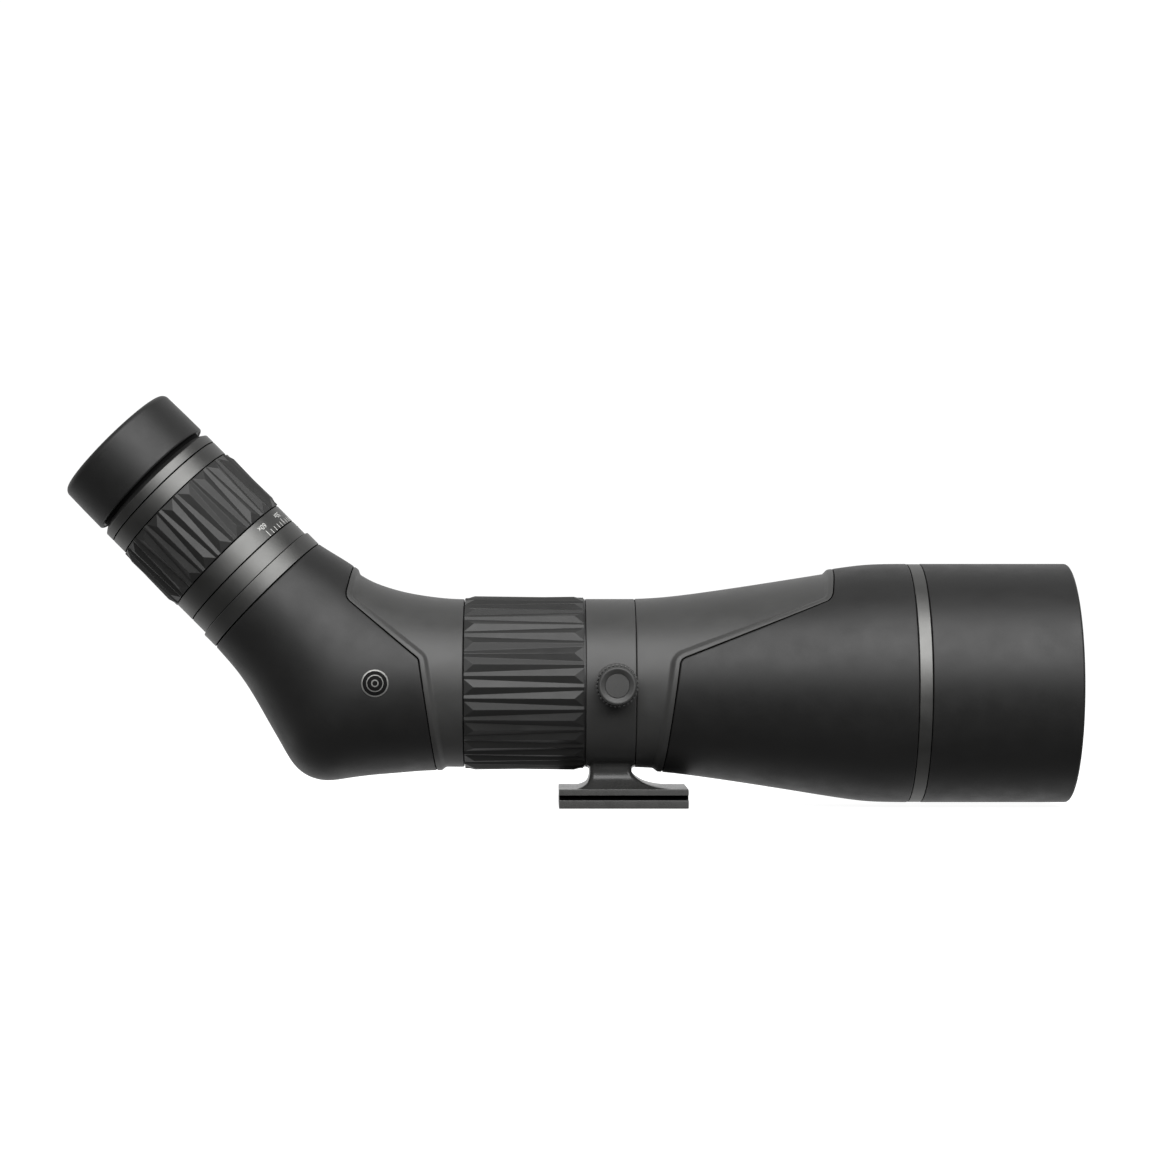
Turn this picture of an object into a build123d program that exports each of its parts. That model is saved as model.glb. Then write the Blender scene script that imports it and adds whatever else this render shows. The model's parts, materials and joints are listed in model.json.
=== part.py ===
from build123d import *
import math
import os

# Angled spotting scope with an 80 mm objective, a 45 degree zoom eyepiece, a ribbed focus ring,
# a turning tripod collar with a lock knob, a pull-out sunshade and a twist-up eyecup.
# Millimetres. The origin is the mouth of the tripod thread under the foot. +X runs along the
# optical axis towards the objective, +Z is up. Every turned piece is a half section revolved about
# the optical axis or about the eyepiece axis.

os.makedirs("parts", exist_ok=True)

# ---------------------------------------------------------------- driving dimensions
AXIS_HEIGHT = 49.5          # optical axis above the underside of the foot
RUN = 0.05                  # radial clearance of a running fit
GAP = 0.2                   # end clearance between a turning ring and its neighbour
SKIN = 1.4                  # thickness of the rubber armour

FOOT_LENGTH = 51.6
FOOT_WIDTH = 38.0
FOOT_HEIGHT = 7.7
THREAD_R = 2.55             # tapping size of a 1/4 inch tripod thread

TUBE_R = 29.9               # outside of the centre tube that the rings turn on
TUBE_BORE = 27.3
TUBE_REAR = -75.0
TUBE_FRONT = 16.0
HOUSING_FRONT = -63.8       # front face of the prism housing
HOUSING_R = 33.8
COLLAR_REAR = -15.2
COLLAR_FRONT = 4.6
COLLAR_R = 33.85
COLLAR_BORE = 30.6
KNOB_X = -3.2               # lock knob, on the -Y side of the collar

BARREL_REAR = 4.8
ARMOUR_FRONT = 114.1
TRIM_REAR = 114.3
TRIM_FRONT = 119.3
HOOD_R = 48.0
HOOD_REAR = 119.6
HOOD_FRONT = 178.6
HOOD_BORE = 45.35
FRONT_TUBE_R = 44.6         # tube that carries the objective and the sliding hood
FRONT_TUBE_END = 168.0
OBJECTIVE_R = 42.0          # edge radius of the 80 mm clear objective

FOCUS_X = -39.4             # middle of the focus ring
FOCUS_TRAVEL = 12.0         # each way
FOCUS_PIN_R = 1.5

CROSSING_X = -107.86        # where the eyepiece axis crosses the optical axis
TILT = 45.0                 # eyepiece axis above the optical axis
EYEPIECE_R = 28.2
EYE_TUBE_R = 22.0
EYE_TUBE_BORE = 19.0
VARIATOR_S = 78.0           # middle of each moving zoom cell, measured along the eyepiece axis
COMPENSATOR_S = 94.0
NECK_R = 25.7
CUP_R = 28.15
EYE_SEAT_R = 17.0
KEY_CIRCLE = 21.5           # guide pins of the eyecup's key ring
KEY_R = 1.2

# ---------------------------------------------------------------- axes and planes
COS = math.cos(math.radians(TILT))
SIN = math.sin(math.radians(TILT))
OPTICAL = Plane(origin=(0, 0, AXIS_HEIGHT), x_dir=(1, 0, 0), z_dir=(0, -1, 0))
OPTICAL_AXIS = Axis((0, 0, AXIS_HEIGHT), (1, 0, 0))
EYEPIECE = Plane(origin=(CROSSING_X, 0, AXIS_HEIGHT), x_dir=(-COS, 0, SIN), z_dir=(0, -1, 0))
EYEPIECE_AXIS = Axis((CROSSING_X, 0, AXIS_HEIGHT), (-COS, 0, SIN))


def across_optical(x):
    """Plane square to the optical axis at x; its y direction is world Y."""
    return Plane(origin=(x, 0, AXIS_HEIGHT), x_dir=(0, 0, -1), z_dir=(1, 0, 0))


def across_eyepiece(s):
    """Plane square to the eyepiece axis at s; its y direction is world Y."""
    origin = (CROSSING_X - COS * s, 0, AXIS_HEIGHT + SIN * s)
    return Plane(origin=origin, x_dir=(-SIN, 0, -COS), z_dir=(-COS, 0, SIN))


def side_view(x, height=0.0, angle=0.0):
    """Plane square to Y through x on the optical axis; angle turns it about that axis."""
    plane = Plane(origin=(x, 0, AXIS_HEIGHT + height), x_dir=(1, 0, 0), z_dir=(0, -1, 0))
    return plane.rotated((angle, 0, 0))


def band(start, end, inner, outer, mode=Mode.ADD):
    """Half section of a plain ring: a rectangle from start to end along the axis."""
    with Locations(((start + end) / 2, (inner + outer) / 2)):
        Rectangle(end - start, outer - inner, mode=mode)


def lens_section(rear, front, radius, rear_sag, front_sag):
    """Half section of a lens. rear and front are the vertices; a positive sag bulges outwards."""
    def arc_start(vertex, depth):
        sphere = (radius**2 + depth**2) / (2 * abs(depth))
        half = sphere - math.sqrt(sphere**2 - (radius / 2) ** 2)
        return (vertex + math.copysign(half, depth), radius / 2)

    with BuildLine() as outline:
        ThreePointArc((rear, 0), arc_start(rear, rear_sag), (rear + rear_sag, radius))
        Line((rear + rear_sag, radius), (front - front_sag, radius))
        ThreePointArc((front - front_sag, radius), arc_start(front, -front_sag), (front, 0))
        Line((front, 0), (rear, 0))
    make_face(outline.edges())


LOCK_PLANE = side_view(KNOB_X)

# ================================================================ tripod collar (fixed to the tripod)
STEM_REAR = -13.5
STEM_FRONT = 2.8
STEM_HALF = 11.5
SLOT_LOW = 3.3              # groove along each side of the foot
SLOT_HIGH = 5.3
SLOT_DEPTH = 2.0
BOSS_R = 7.0
BOSS_TOP = 36.4
PAD_R = 3.5
SCREW_R = 2.05

with BuildPart() as foot_stem:
    # side view: straight stem, a small fillet behind and a long flare in front
    with BuildSketch(Plane.XZ):
        with BuildLine():
            Line((STEM_FRONT, AXIS_HEIGHT - 31), (STEM_FRONT, 15.5))
            Spline((STEM_FRONT, 15.5), (7.6, 10.6), (21.0, 7.5), tangents=((0, -1), (1, -0.08)))
            Line((21.0, 7.5), (21.0, 5.0))
            Line((21.0, 5.0), (-18.7, 5.0))
            Line((-18.7, 5.0), (-18.7, FOOT_HEIGHT))
            ThreePointArc((-18.7, FOOT_HEIGHT), (-15.0, 9.3), (STEM_REAR, 13.0))
            Line((STEM_REAR, 13.0), (STEM_REAR, AXIS_HEIGHT - 31))
            Line((STEM_REAR, AXIS_HEIGHT - 31), (STEM_FRONT, AXIS_HEIGHT - 31))
        make_face()
    extrude(amount=FOOT_WIDTH / 2, both=True)
    # end view: the stem widens in a concave curve onto the plate
    with BuildSketch(Plane.YZ):
        with BuildLine():
            Line((-STEM_HALF, AXIS_HEIGHT - 30), (-STEM_HALF, 14.0))
            ThreePointArc((-STEM_HALF, 14.0), (-13.2, 9.8), (-17.4, FOOT_HEIGHT))
            Line((-17.4, FOOT_HEIGHT), (-17.4, 4.0))
            Line((-17.4, 4.0), (17.4, 4.0))
            Line((17.4, 4.0), (17.4, FOOT_HEIGHT))
            ThreePointArc((17.4, FOOT_HEIGHT), (13.2, 9.8), (STEM_HALF, 14.0))
            Line((STEM_HALF, 14.0), (STEM_HALF, AXIS_HEIGHT - 30))
            Line((STEM_HALF, AXIS_HEIGHT - 30), (-STEM_HALF, AXIS_HEIGHT - 30))
        make_face()
    extrude(amount=FOOT_LENGTH / 2, both=True, mode=Mode.INTERSECT)

with BuildPart() as tripod_collar:
    with BuildSketch(OPTICAL):
        band(COLLAR_REAR, COLLAR_FRONT, 30.0, COLLAR_R)
    revolve(axis=OPTICAL_AXIS)
    add(foot_stem.part)
    with BuildSketch(Plane.XY):
        Rectangle(FOOT_LENGTH, FOOT_WIDTH)
    extrude(amount=FOOT_HEIGHT)
    chamfer(edges().filter_by(Axis.Z).filter_by_position(Axis.Z, 1, 6), length=0.6)
    # side grooves that a dovetail clamp grips
    with BuildSketch(Plane.YZ):
        for side in (-1, 1):
            with Locations((side * FOOT_WIDTH / 2, (SLOT_LOW + SLOT_HIGH) / 2)):
                Rectangle(2 * SLOT_DEPTH, SLOT_HIGH - SLOT_LOW)
    extrude(amount=FOOT_LENGTH, both=True, mode=Mode.SUBTRACT)
    # boss for the lock screw
    with BuildSketch(LOCK_PLANE.offset(32.0)):
        Circle(BOSS_R)
    extrude(amount=BOSS_TOP - 32.0)
    # bore for the scope, pocket for the pad, hole for the screw and seat for the thread insert
    with BuildSketch(OPTICAL):
        band(COLLAR_REAR - 1, COLLAR_FRONT + 1, 0, COLLAR_BORE)
    revolve(axis=OPTICAL_AXIS, mode=Mode.SUBTRACT)
    with BuildSketch(LOCK_PLANE.offset(20.0)):
        Circle(PAD_R + RUN)
    extrude(amount=12.8, mode=Mode.SUBTRACT)
    with BuildSketch(LOCK_PLANE.offset(20.0)):
        Circle(SCREW_R + RUN)
    extrude(amount=30.0, mode=Mode.SUBTRACT)
    with BuildSketch(Plane.XY):
        Circle(5.0)
    extrude(amount=10.0, mode=Mode.SUBTRACT)

with BuildPart() as thread_insert:
    with BuildSketch(Plane.XY):
        Circle(5.0)
        Circle(THREAD_R, mode=Mode.SUBTRACT)
    extrude(amount=10.0)

with BuildPart() as collar_liner:
    with BuildSketch(OPTICAL):
        band(COLLAR_REAR + 0.4, COLLAR_FRONT - 0.4, TUBE_R + RUN, COLLAR_BORE)
    revolve(axis=OPTICAL_AXIS)
    with BuildSketch(LOCK_PLANE.offset(20.0)):
        Circle(PAD_R + RUN)
    extrude(amount=12.8, mode=Mode.SUBTRACT)

# ---------------------------------------------------------------- collar lock
PAD_OUTER = 32.1            # the pad's flat back, measured from the optical axis
KNOB_LOW = 37.2
KNOB_TOP = 44.6
KNOB_R = 8.1
KNOB_TEETH = 30

with BuildPart() as lock_pad:
    with BuildSketch(LOCK_PLANE.offset(25.0)):
        Circle(PAD_R)
    extrude(amount=PAD_OUTER - 25.0)
    with BuildSketch(OPTICAL):
        band(COLLAR_REAR, COLLAR_FRONT + 6, 0, TUBE_R + RUN)
    revolve(axis=OPTICAL_AXIS, mode=Mode.SUBTRACT)

with BuildPart() as lock_screw:
    with BuildSketch(LOCK_PLANE.offset(PAD_OUTER + RUN)):
        Circle(SCREW_R)
    extrude(amount=KNOB_TOP - 3.0 - PAD_OUTER - RUN)

with BuildPart() as lock_knob:
    with BuildSketch(LOCK_PLANE.offset(KNOB_LOW)):
        Circle(KNOB_R)
    extrude(amount=KNOB_TOP - KNOB_LOW)
    fillet(edges().filter_by(GeomType.CIRCLE).sort_by(Axis.Y)[0], radius=0.8)
    chamfer(edges().filter_by(GeomType.CIRCLE).sort_by(Axis.Y)[-1], length=0.5)
    with BuildSketch(LOCK_PLANE.offset(KNOB_LOW)):
        with PolarLocations(KNOB_R, KNOB_TEETH):
            Rectangle(0.6, 0.6, rotation=45)
    extrude(amount=KNOB_TOP - KNOB_LOW - 1.2, mode=Mode.SUBTRACT)
    with BuildSketch(LOCK_PLANE.offset(KNOB_TOP - 1.2)):
        Circle(5.8)
    extrude(amount=2.0, mode=Mode.SUBTRACT)
    with BuildSketch(LOCK_PLANE.offset(KNOB_LOW - 1)):
        Circle(SCREW_R)
    extrude(amount=KNOB_TOP - 3.0 - KNOB_LOW + 1, mode=Mode.SUBTRACT)

with BuildPart() as lock_knob_cap:
    with BuildSketch(LOCK_PLANE.offset(KNOB_TOP - 1.2)):
        Circle(4.9)
    extrude(amount=0.7)
    fillet(edges().filter_by(GeomType.CIRCLE).sort_by(Axis.Y)[0], radius=0.3)

# ================================================================ scope body: tube and barrel
PIN_SLOT_HALF = FOCUS_TRAVEL + FOCUS_PIN_R + 0.4
PIN_ANGLES = (30, 150, 270)

with BuildPart() as center_tube:
    with BuildSketch(OPTICAL):
        band(TUBE_REAR, TUBE_FRONT, TUBE_BORE, TUBE_R)
    revolve(axis=OPTICAL_AXIS)
    # three straight slots guide the focus drive pins
    for angle in PIN_ANGLES:
        with BuildSketch(side_view(FOCUS_X, 0, angle)):
            SlotOverall(2 * PIN_SLOT_HALF, 2 * FOCUS_PIN_R + 0.2)
        extrude(amount=TUBE_R + 3, mode=Mode.SUBTRACT)

# outer line of the grey casting: straight cones between these stations
BARREL_LINE = ((BARREL_REAR, 33.9), (7.0, 34.0), (31.2, 36.35), (55.4, 39.9), (77.6, 43.4),
               (87.6, 44.95), (97.0, 46.1), (ARMOUR_FRONT, 46.6))
WALL = 2.3

with BuildPart() as objective_barrel:
    with BuildSketch(OPTICAL):
        with BuildLine():
            Polyline(*BARREL_LINE, (ARMOUR_FRONT, FRONT_TUBE_R), (TRIM_FRONT, FRONT_TUBE_R),
                     (TRIM_FRONT, 43.0), (100.0, 43.0), (77.6, 43.4 - WALL), (31.2, 36.35 - WALL),
                     (TUBE_FRONT, 33.0), (TUBE_FRONT, TUBE_R), (BARREL_REAR, TUBE_R), close=True)
        make_face()
    revolve(axis=OPTICAL_AXIS)
    # O-ring groove over the centre tube
    with BuildSketch(OPTICAL):
        band(9.0, 11.4, TUBE_R - 1, TUBE_R + 1.5)
    revolve(axis=OPTICAL_AXIS, mode=Mode.SUBTRACT)

with BuildPart() as barrel_oring:
    with BuildSketch(OPTICAL):
        with Locations((10.2, TUBE_R + 0.75)):
            Circle(0.74)
    revolve(axis=OPTICAL_AXIS)

with BuildPart() as barrel_baffle:
    with BuildSketch(OPTICAL):
        with BuildLine():
            Polyline((49.0, 34.0), (50.0, 34.0), (53.0, 36.9), (57.0, 37.5), (57.0, 36.6),
                     (53.6, 36.0), (50.0, 32.0), (49.0, 32.0), close=True)
        make_face()
    revolve(axis=OPTICAL_AXIS)

# Armour of the barrel. Seen from the side its edge runs up behind the collar, turns forward along a
# slope, and turns up again over the top.
with BuildPart() as front_armor:
    with BuildSketch(OPTICAL):
        with BuildLine():
            Line((7.0, 34.0 + 0.01), (31.2, 36.36))
            Polyline((31.2, 36.36), (55.4, 39.91), (77.6, 43.41), (87.6, 44.96), (97.0, 46.11),
                     (ARMOUR_FRONT, 46.61))
            Line((ARMOUR_FRONT, 46.61), (ARMOUR_FRONT, HOOD_R - 0.4))
            Polyline((ARMOUR_FRONT, HOOD_R - 0.4), (113.6, HOOD_R), (104.0, 47.85), (95.7, 47.3),
                     (79.6, 45.3), (47.3, 40.3), (27.2, 37.2), (7.0, 35.0), (7.0, 34.01))
        make_face()
    revolve(axis=OPTICAL_AXIS)
    with BuildSketch(OPTICAL):
        with BuildLine():
            ThreePointArc((13.9, -50.0), (18.3, -15.5), (21.8, 10.4))
            Polyline((21.8, 10.4), (81.7, 34.1), (85.4, 52.0), (120.0, 52.0), (120.0, -50.0),
                     (13.9, -50.0))
        make_face()
        fillet(vertices().filter_by_position(Axis.X, 20, 23), radius=3.5)
        fillet(vertices().filter_by_position(Axis.X, 80, 83), radius=5.0)
    extrude(amount=60, both=True, mode=Mode.INTERSECT)

with BuildPart() as trim_ring:
    with BuildSketch(OPTICAL):
        band(TRIM_REAR, TRIM_FRONT, FRONT_TUBE_R, HOOD_R - 0.1)
        chamfer(vertices().group_by(Axis.Y)[-1], length=0.25)
    revolve(axis=OPTICAL_AXIS)

# ---------------------------------------------------------------- objective
with BuildPart() as objective_cell:
    with BuildSketch(OPTICAL):
        band(101.0, TRIM_FRONT, OBJECTIVE_R, 43.0)
        band(TRIM_FRONT, FRONT_TUBE_END, OBJECTIVE_R, FRONT_TUBE_R)
        band(166.2, FRONT_TUBE_END, OBJECTIVE_R, FRONT_TUBE_R + 0.4)
        band(139.0, 142.0, 40.4, OBJECTIVE_R)
    revolve(axis=OPTICAL_AXIS)

with BuildPart() as objective_flint:
    with BuildSketch(OPTICAL):
        lens_section(143.6, 147.0, OBJECTIVE_R, -1.6, -3.2)
    revolve(axis=OPTICAL_AXIS)

with BuildPart() as objective_spacer:
    with BuildSketch(OPTICAL):
        band(150.3, 151.0, 40.6, OBJECTIVE_R)
    revolve(axis=OPTICAL_AXIS)

with BuildPart() as objective_crown:
    with BuildSketch(OPTICAL):
        lens_section(148.0, 163.2, OBJECTIVE_R, 3.4, 4.2)
    revolve(axis=OPTICAL_AXIS)

with BuildPart() as objective_retainer:
    with BuildSketch(OPTICAL):
        with BuildLine():
            Polyline((159.6, OBJECTIVE_R), (167.6, OBJECTIVE_R), (167.6, 41.6), (161.0, 40.2),
                     (159.6, 40.2), close=True)
        make_face()
    revolve(axis=OPTICAL_AXIS)

# ================================================================ sunshade
with BuildPart() as sunshade_tube:
    with BuildSketch(OPTICAL):
        band(HOOD_REAR, HOOD_FRONT - 1.6, HOOD_BORE, 46.3)
    revolve(axis=OPTICAL_AXIS)

with BuildPart() as sunshade_grip:
    with BuildSketch(OPTICAL):
        band(HOOD_REAR, HOOD_FRONT, 46.3, HOOD_R)
        band(HOOD_FRONT - 1.6, HOOD_FRONT, HOOD_BORE, 46.3)
        corner = vertices().group_by(Axis.Y)[-1].sort_by(Axis.X)
        fillet(corner[-1], radius=1.1)
        chamfer(corner[0], length=0.3)
    revolve(axis=OPTICAL_AXIS)

with BuildPart() as sunshade_glide:
    with BuildSketch(OPTICAL):
        band(120.4, 127.4, FRONT_TUBE_R + RUN, HOOD_BORE)
    revolve(axis=OPTICAL_AXIS)

# ================================================================ focus ring
RING_REAR = HOUSING_FRONT + 0.4
RING_FRONT = COLLAR_REAR - GAP
GRIP_FRONT = RING_FRONT - 0.5
CORE_R = 32.4
GRIP_R = 33.9
RIB_HIGH = 35.0
RIB_LOW = 34.45
FOCUS_RIBS = 48
FOCUS_PHASE = 1.3           # degrees from the -Y side to the first rib that is wide at the rear
RELIEF_R = 31.4             # inside of the cam relief that the drive pins run in

with BuildPart() as focus_ring:
    with BuildSketch(OPTICAL):
        band(RING_REAR, RING_FRONT, TUBE_R + RUN, CORE_R)
        band(GRIP_FRONT, RING_FRONT, CORE_R, GRIP_R)
        band(FOCUS_X - PIN_SLOT_HALF, FOCUS_X + PIN_SLOT_HALF, TUBE_R - 1, RELIEF_R, mode=Mode.SUBTRACT)
    revolve(axis=OPTICAL_AXIS)


def rib_end(base, half_width, peak):
    """Triangle across a rib: its foot is sunk 0.4 mm under the base radius."""
    with BuildLine() as outline:
        Polyline((-half_width, base - 0.4), (half_width, base - 0.4), (0, peak), close=True)
    make_face(outline.edges())


def rib(plane_at, start, end, facet, base, wide, narrow, high, low):
    """One tapered rib along an axis: wide and high near start, narrow and low at end."""
    with BuildPart() as one_rib:
        with BuildSketch(plane_at(start)):
            rib_end(base, wide / 2, base - 0.3)
        with BuildSketch(plane_at(start + facet)):
            rib_end(base, wide / 2 * 0.94, high)
        with BuildSketch(plane_at(end)):
            rib_end(base, narrow / 2, low)
        loft(ruled=True)
    return one_rib.part


def upright_optical(x):
    """Plane square to the optical axis; its y direction points from the axis to the top."""
    return Plane(origin=(x, 0, AXIS_HEIGHT), x_dir=(0, -1, 0), z_dir=(1, 0, 0))


rearward_rib = rib(upright_optical, RING_REAR, GRIP_FRONT, 4.2, GRIP_R, 6.2, 2.0, RIB_HIGH, RIB_LOW)
forward_rib = rib(upright_optical, GRIP_FRONT, RING_REAR, -4.2, GRIP_R, 6.2, 2.0, RIB_HIGH, RIB_LOW)
focus_pitch = 360 / FOCUS_RIBS

with BuildPart() as focus_grip:
    with BuildSketch(OPTICAL):
        band(RING_REAR, GRIP_FRONT, CORE_R, GRIP_R)
    revolve(axis=OPTICAL_AXIS)
    for k in range(0, FOCUS_RIBS, 2):
        add(rearward_rib.rotate(OPTICAL_AXIS, FOCUS_PHASE + k * focus_pitch))
        add(forward_rib.rotate(OPTICAL_AXIS, FOCUS_PHASE + (k + 1) * focus_pitch))

# ---------------------------------------------------------------- focus carrier inside the tube
CARRIER_HALF = 8.0
CARRIER_R = TUBE_BORE - RUN

with BuildPart() as focus_cell:
    with BuildSketch(OPTICAL):
        band(FOCUS_X - CARRIER_HALF, FOCUS_X + CARRIER_HALF, 22.5, CARRIER_R)
        band(FOCUS_X - CARRIER_HALF, FOCUS_X - 4.0, 20.6, 22.5)
    revolve(axis=OPTICAL_AXIS)
    for angle in PIN_ANGLES:
        with BuildSketch(side_view(FOCUS_X, 0, angle)):
            Circle(FOCUS_PIN_R)
        extrude(amount=CARRIER_R + 2, mode=Mode.SUBTRACT)

with BuildPart() as focus_pins:
    for angle in PIN_ANGLES:
        with BuildSketch(side_view(FOCUS_X, 0, angle).offset(22.6)):
            Circle(FOCUS_PIN_R)
        extrude(amount=RELIEF_R - 0.4 - 22.6)

with BuildPart() as focus_lens:
    with BuildSketch(OPTICAL):
        lens_section(FOCUS_X - 2.2, FOCUS_X + 2.0, 22.5, -1.8, -1.4)
    revolve(axis=OPTICAL_AXIS)

with BuildPart() as focus_retainer:
    with BuildSketch(OPTICAL):
        band(FOCUS_X + 3.4, FOCUS_X + 6.4, 21.0, 22.5)
    revolve(axis=OPTICAL_AXIS)

# ================================================================ prism housing
# The housing is a loft through ellipses. Their planes all pass through one line above the front
# face and fan out from the front face (90 degrees) to the eyepiece flange (45 degrees). Each row is
# angle, distance of the casting's top and bottom from that line, and half width.
FAN = (HOUSING_FRONT, AXIS_HEIGHT + 114.7)
SECTIONS = ((90.0, 80.90, 148.50, 33.80),
            (85.0, 80.85, 149.10, 33.85),
            (80.0, 81.05, 151.80, 34.00),
            (76.0, 81.35, 155.10, 34.20),
            (73.0, 81.65, 158.60, 34.25),
            (70.3, 81.95, 162.10, 34.20),
            (67.8, 82.20, 163.20, 33.95),
            (65.5, 82.40, 161.80, 33.60),
            (62.5, 82.60, 156.80, 33.00),
            (59.0, 82.55, 151.10, 32.10),
            (55.0, 82.45, 145.70, 30.90),
            (50.0, 83.15, 141.50, 29.30),
            (45.0, 84.45, 140.05, 27.80))


def fan_loft(inset, sections=SECTIONS):
    """Solid through the sections, each made smaller all round by inset."""
    with BuildPart() as body:
        for angle, top, bottom, half_width in sections:
            c = math.cos(math.radians(angle))
            s = math.sin(math.radians(angle))
            middle = (top + bottom) / 2
            origin = (FAN[0] - c * middle, 0, FAN[1] - s * middle)
            with BuildSketch(Plane(origin=origin, x_dir=(-c, 0, -s), z_dir=(-s, 0, c))):
                Ellipse((bottom - top) / 2 - inset, half_width - inset)
        loft(ruled=True)
    return body.part


casting = fan_loft(0)
casting_with_armour = fan_loft(-SKIN)
cavity = fan_loft(2.8, SECTIONS[3:])

BRACKET_SEAT = -80.0
BRACKET_R = TUBE_BORE - RUN
LIP_BORE = 20.0             # opening of the lip between the centre tube and the prism bracket
SCREW_CIRCLE = 23.6
SCREW_HOLE_R = 1.3
FLANGE_SPIGOT_R = 24.0
FLANGE_S = 50.0
BADGE_X = -98.1
BADGE_HEIGHT = 0.8          # above the optical axis
BADGE_R = 5.45

with BuildPart() as prism_housing:
    add(casting)
    add(cavity, mode=Mode.SUBTRACT)
    # tube seat, light path, seat of the prism bracket, and the eyepiece opening
    with BuildSketch(OPTICAL):
        band(TUBE_REAR, HOUSING_FRONT + 1, 0, TUBE_R)
        band(BRACKET_SEAT - 1, TUBE_REAR + 1, 0, LIP_BORE)
        band(BRACKET_SEAT - 24, BRACKET_SEAT, 0, TUBE_BORE)
    revolve(axis=OPTICAL_AXIS, mode=Mode.SUBTRACT)
    with BuildSketch(across_eyepiece(38.0)):
        Circle(FLANGE_SPIGOT_R)
    extrude(amount=14.0, mode=Mode.SUBTRACT)
    with BuildSketch(across_optical(BRACKET_SEAT)):
        with PolarLocations(SCREW_CIRCLE, 4, start_angle=45):
            Circle(SCREW_HOLE_R)
    extrude(amount=4.0, mode=Mode.SUBTRACT)

# Armour of the housing. Seen from the side its edge comes down from the top, turns forward along a
# slope and turns down again in front.
with BuildPart() as rear_armor:
    add(casting_with_armour)
    with BuildSketch(OPTICAL):
        with BuildLine():
            Polyline((-105.2, 62.0), (-110.3, 34.8), (-80.9, 10.5), (-77.2, -15.2), (-72.6, -50.0),
                     (-200.0, -50.0), (-200.0, 62.0), close=True)
        make_face()
        fillet(vertices().filter_by_position(Axis.X, -112, -109), radius=4.5)
        fillet(vertices().filter_by_position(Axis.X, -82, -80), radius=3.0)
    extrude(amount=60, both=True, mode=Mode.INTERSECT)
    add(casting, mode=Mode.SUBTRACT)
    # recess for a round badge on each side
    with BuildSketch(side_view(BADGE_X, BADGE_HEIGHT)):
        Circle(BADGE_R + 0.05)
    extrude(amount=60, both=True, mode=Mode.SUBTRACT)

with BuildPart() as side_badges:
    with BuildSketch(side_view(BADGE_X, BADGE_HEIGHT)):
        Circle(BADGE_R)
    extrude(amount=60, both=True)
    add(casting_with_armour, mode=Mode.INTERSECT)
    add(casting, mode=Mode.SUBTRACT)

# ---------------------------------------------------------------- roof prism
# Schmidt prism: the entrance face is square to the optical axis, the exit face square to the
# eyepiece axis, and the roof edge lies opposite their common edge.
PRISM_TOP = 15.0            # height of the common edge above the optical axis
PRISM_HALF = 12.5
PRISM_FACE_X = CROSSING_X + (math.sqrt(2) - 1) * PRISM_TOP
ROOF_LEAN = math.radians(67.5)
ROOF_NORMAL = (-math.cos(ROOF_LEAN), -math.sin(ROOF_LEAN))
ROOF_DEPTH = PRISM_TOP * (math.cos(ROOF_LEAN) + math.sqrt(2) * math.sin(ROOF_LEAN))
PRISM_SIDE = 2.83 * PRISM_TOP

with BuildPart() as roof_prism:
    with BuildSketch(side_view(PRISM_FACE_X)):
        with BuildLine():
            Polyline((0, PRISM_TOP), (0, PRISM_TOP - PRISM_SIDE),
                     (-COS * PRISM_SIDE, PRISM_TOP - SIN * PRISM_SIDE), close=True)
        make_face()
    extrude(amount=PRISM_HALF, both=True)
    # the two roof faces meet square along the ridge
    ridge_plane = Plane(
        origin=(PRISM_FACE_X + ROOF_NORMAL[0] * ROOF_DEPTH, 0, AXIS_HEIGHT + ROOF_NORMAL[1] * ROOF_DEPTH),
        x_dir=(0, 1, 0), z_dir=(-ROOF_NORMAL[1], 0, ROOF_NORMAL[0]))
    with BuildSketch(ridge_plane):
        with BuildLine():
            Polyline((0, 0), (PRISM_HALF + 1, PRISM_HALF + 1), (PRISM_HALF + 1, 60),
                     (-PRISM_HALF - 1, 60), (-PRISM_HALF - 1, PRISM_HALF + 1), close=True)
        make_face()
    extrude(amount=60, both=True, mode=Mode.INTERSECT)

CHEEK_INNER = PRISM_HALF + 0.1
CHEEK_OUTER = PRISM_HALF + 2.2

with BuildPart() as prism_bracket:
    with BuildSketch(across_optical(BRACKET_SEAT - 3.0)):
        Circle(BRACKET_R)
        Circle(16.5, mode=Mode.SUBTRACT)
    extrude(amount=3.0)
    # two cheeks hold the flat sides of the prism
    for side in (-1, 1):
        with BuildSketch(side_view(0).offset(side * CHEEK_INNER)):
            with BuildLine():
                Polyline((BRACKET_SEAT - 1, 12), (-100.0, 16), (-124.0, -6), (-118.0, -20),
                         (-104.0, -25), (BRACKET_SEAT - 1, -16), close=True)
            make_face()
        extrude(amount=side * (CHEEK_OUTER - CHEEK_INNER))
    with BuildSketch(across_optical(BRACKET_SEAT)):
        with PolarLocations(SCREW_CIRCLE, 4, start_angle=45):
            Circle(SCREW_HOLE_R)
    extrude(amount=-3.0, mode=Mode.SUBTRACT)

with BuildPart() as prism_clamp:
    # spring plate across the ridge of the roof, from cheek to cheek
    with BuildSketch(ridge_plane.offset(-6.0)):
        with Locations((0, -0.8)):
            Rectangle(2 * CHEEK_OUTER, 1.2)
    extrude(amount=12.0)

with BuildPart() as prism_screws:
    with BuildSketch(across_optical(BRACKET_SEAT - 3.0)):
        with PolarLocations(SCREW_CIRCLE, 4, start_angle=45):
            Circle(1.3)
    extrude(amount=6.6)
    with BuildSketch(across_optical(BRACKET_SEAT - 3.0)):
        with PolarLocations(SCREW_CIRCLE, 4, start_angle=45):
            Circle(1.9)
    extrude(amount=-1.6)

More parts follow.
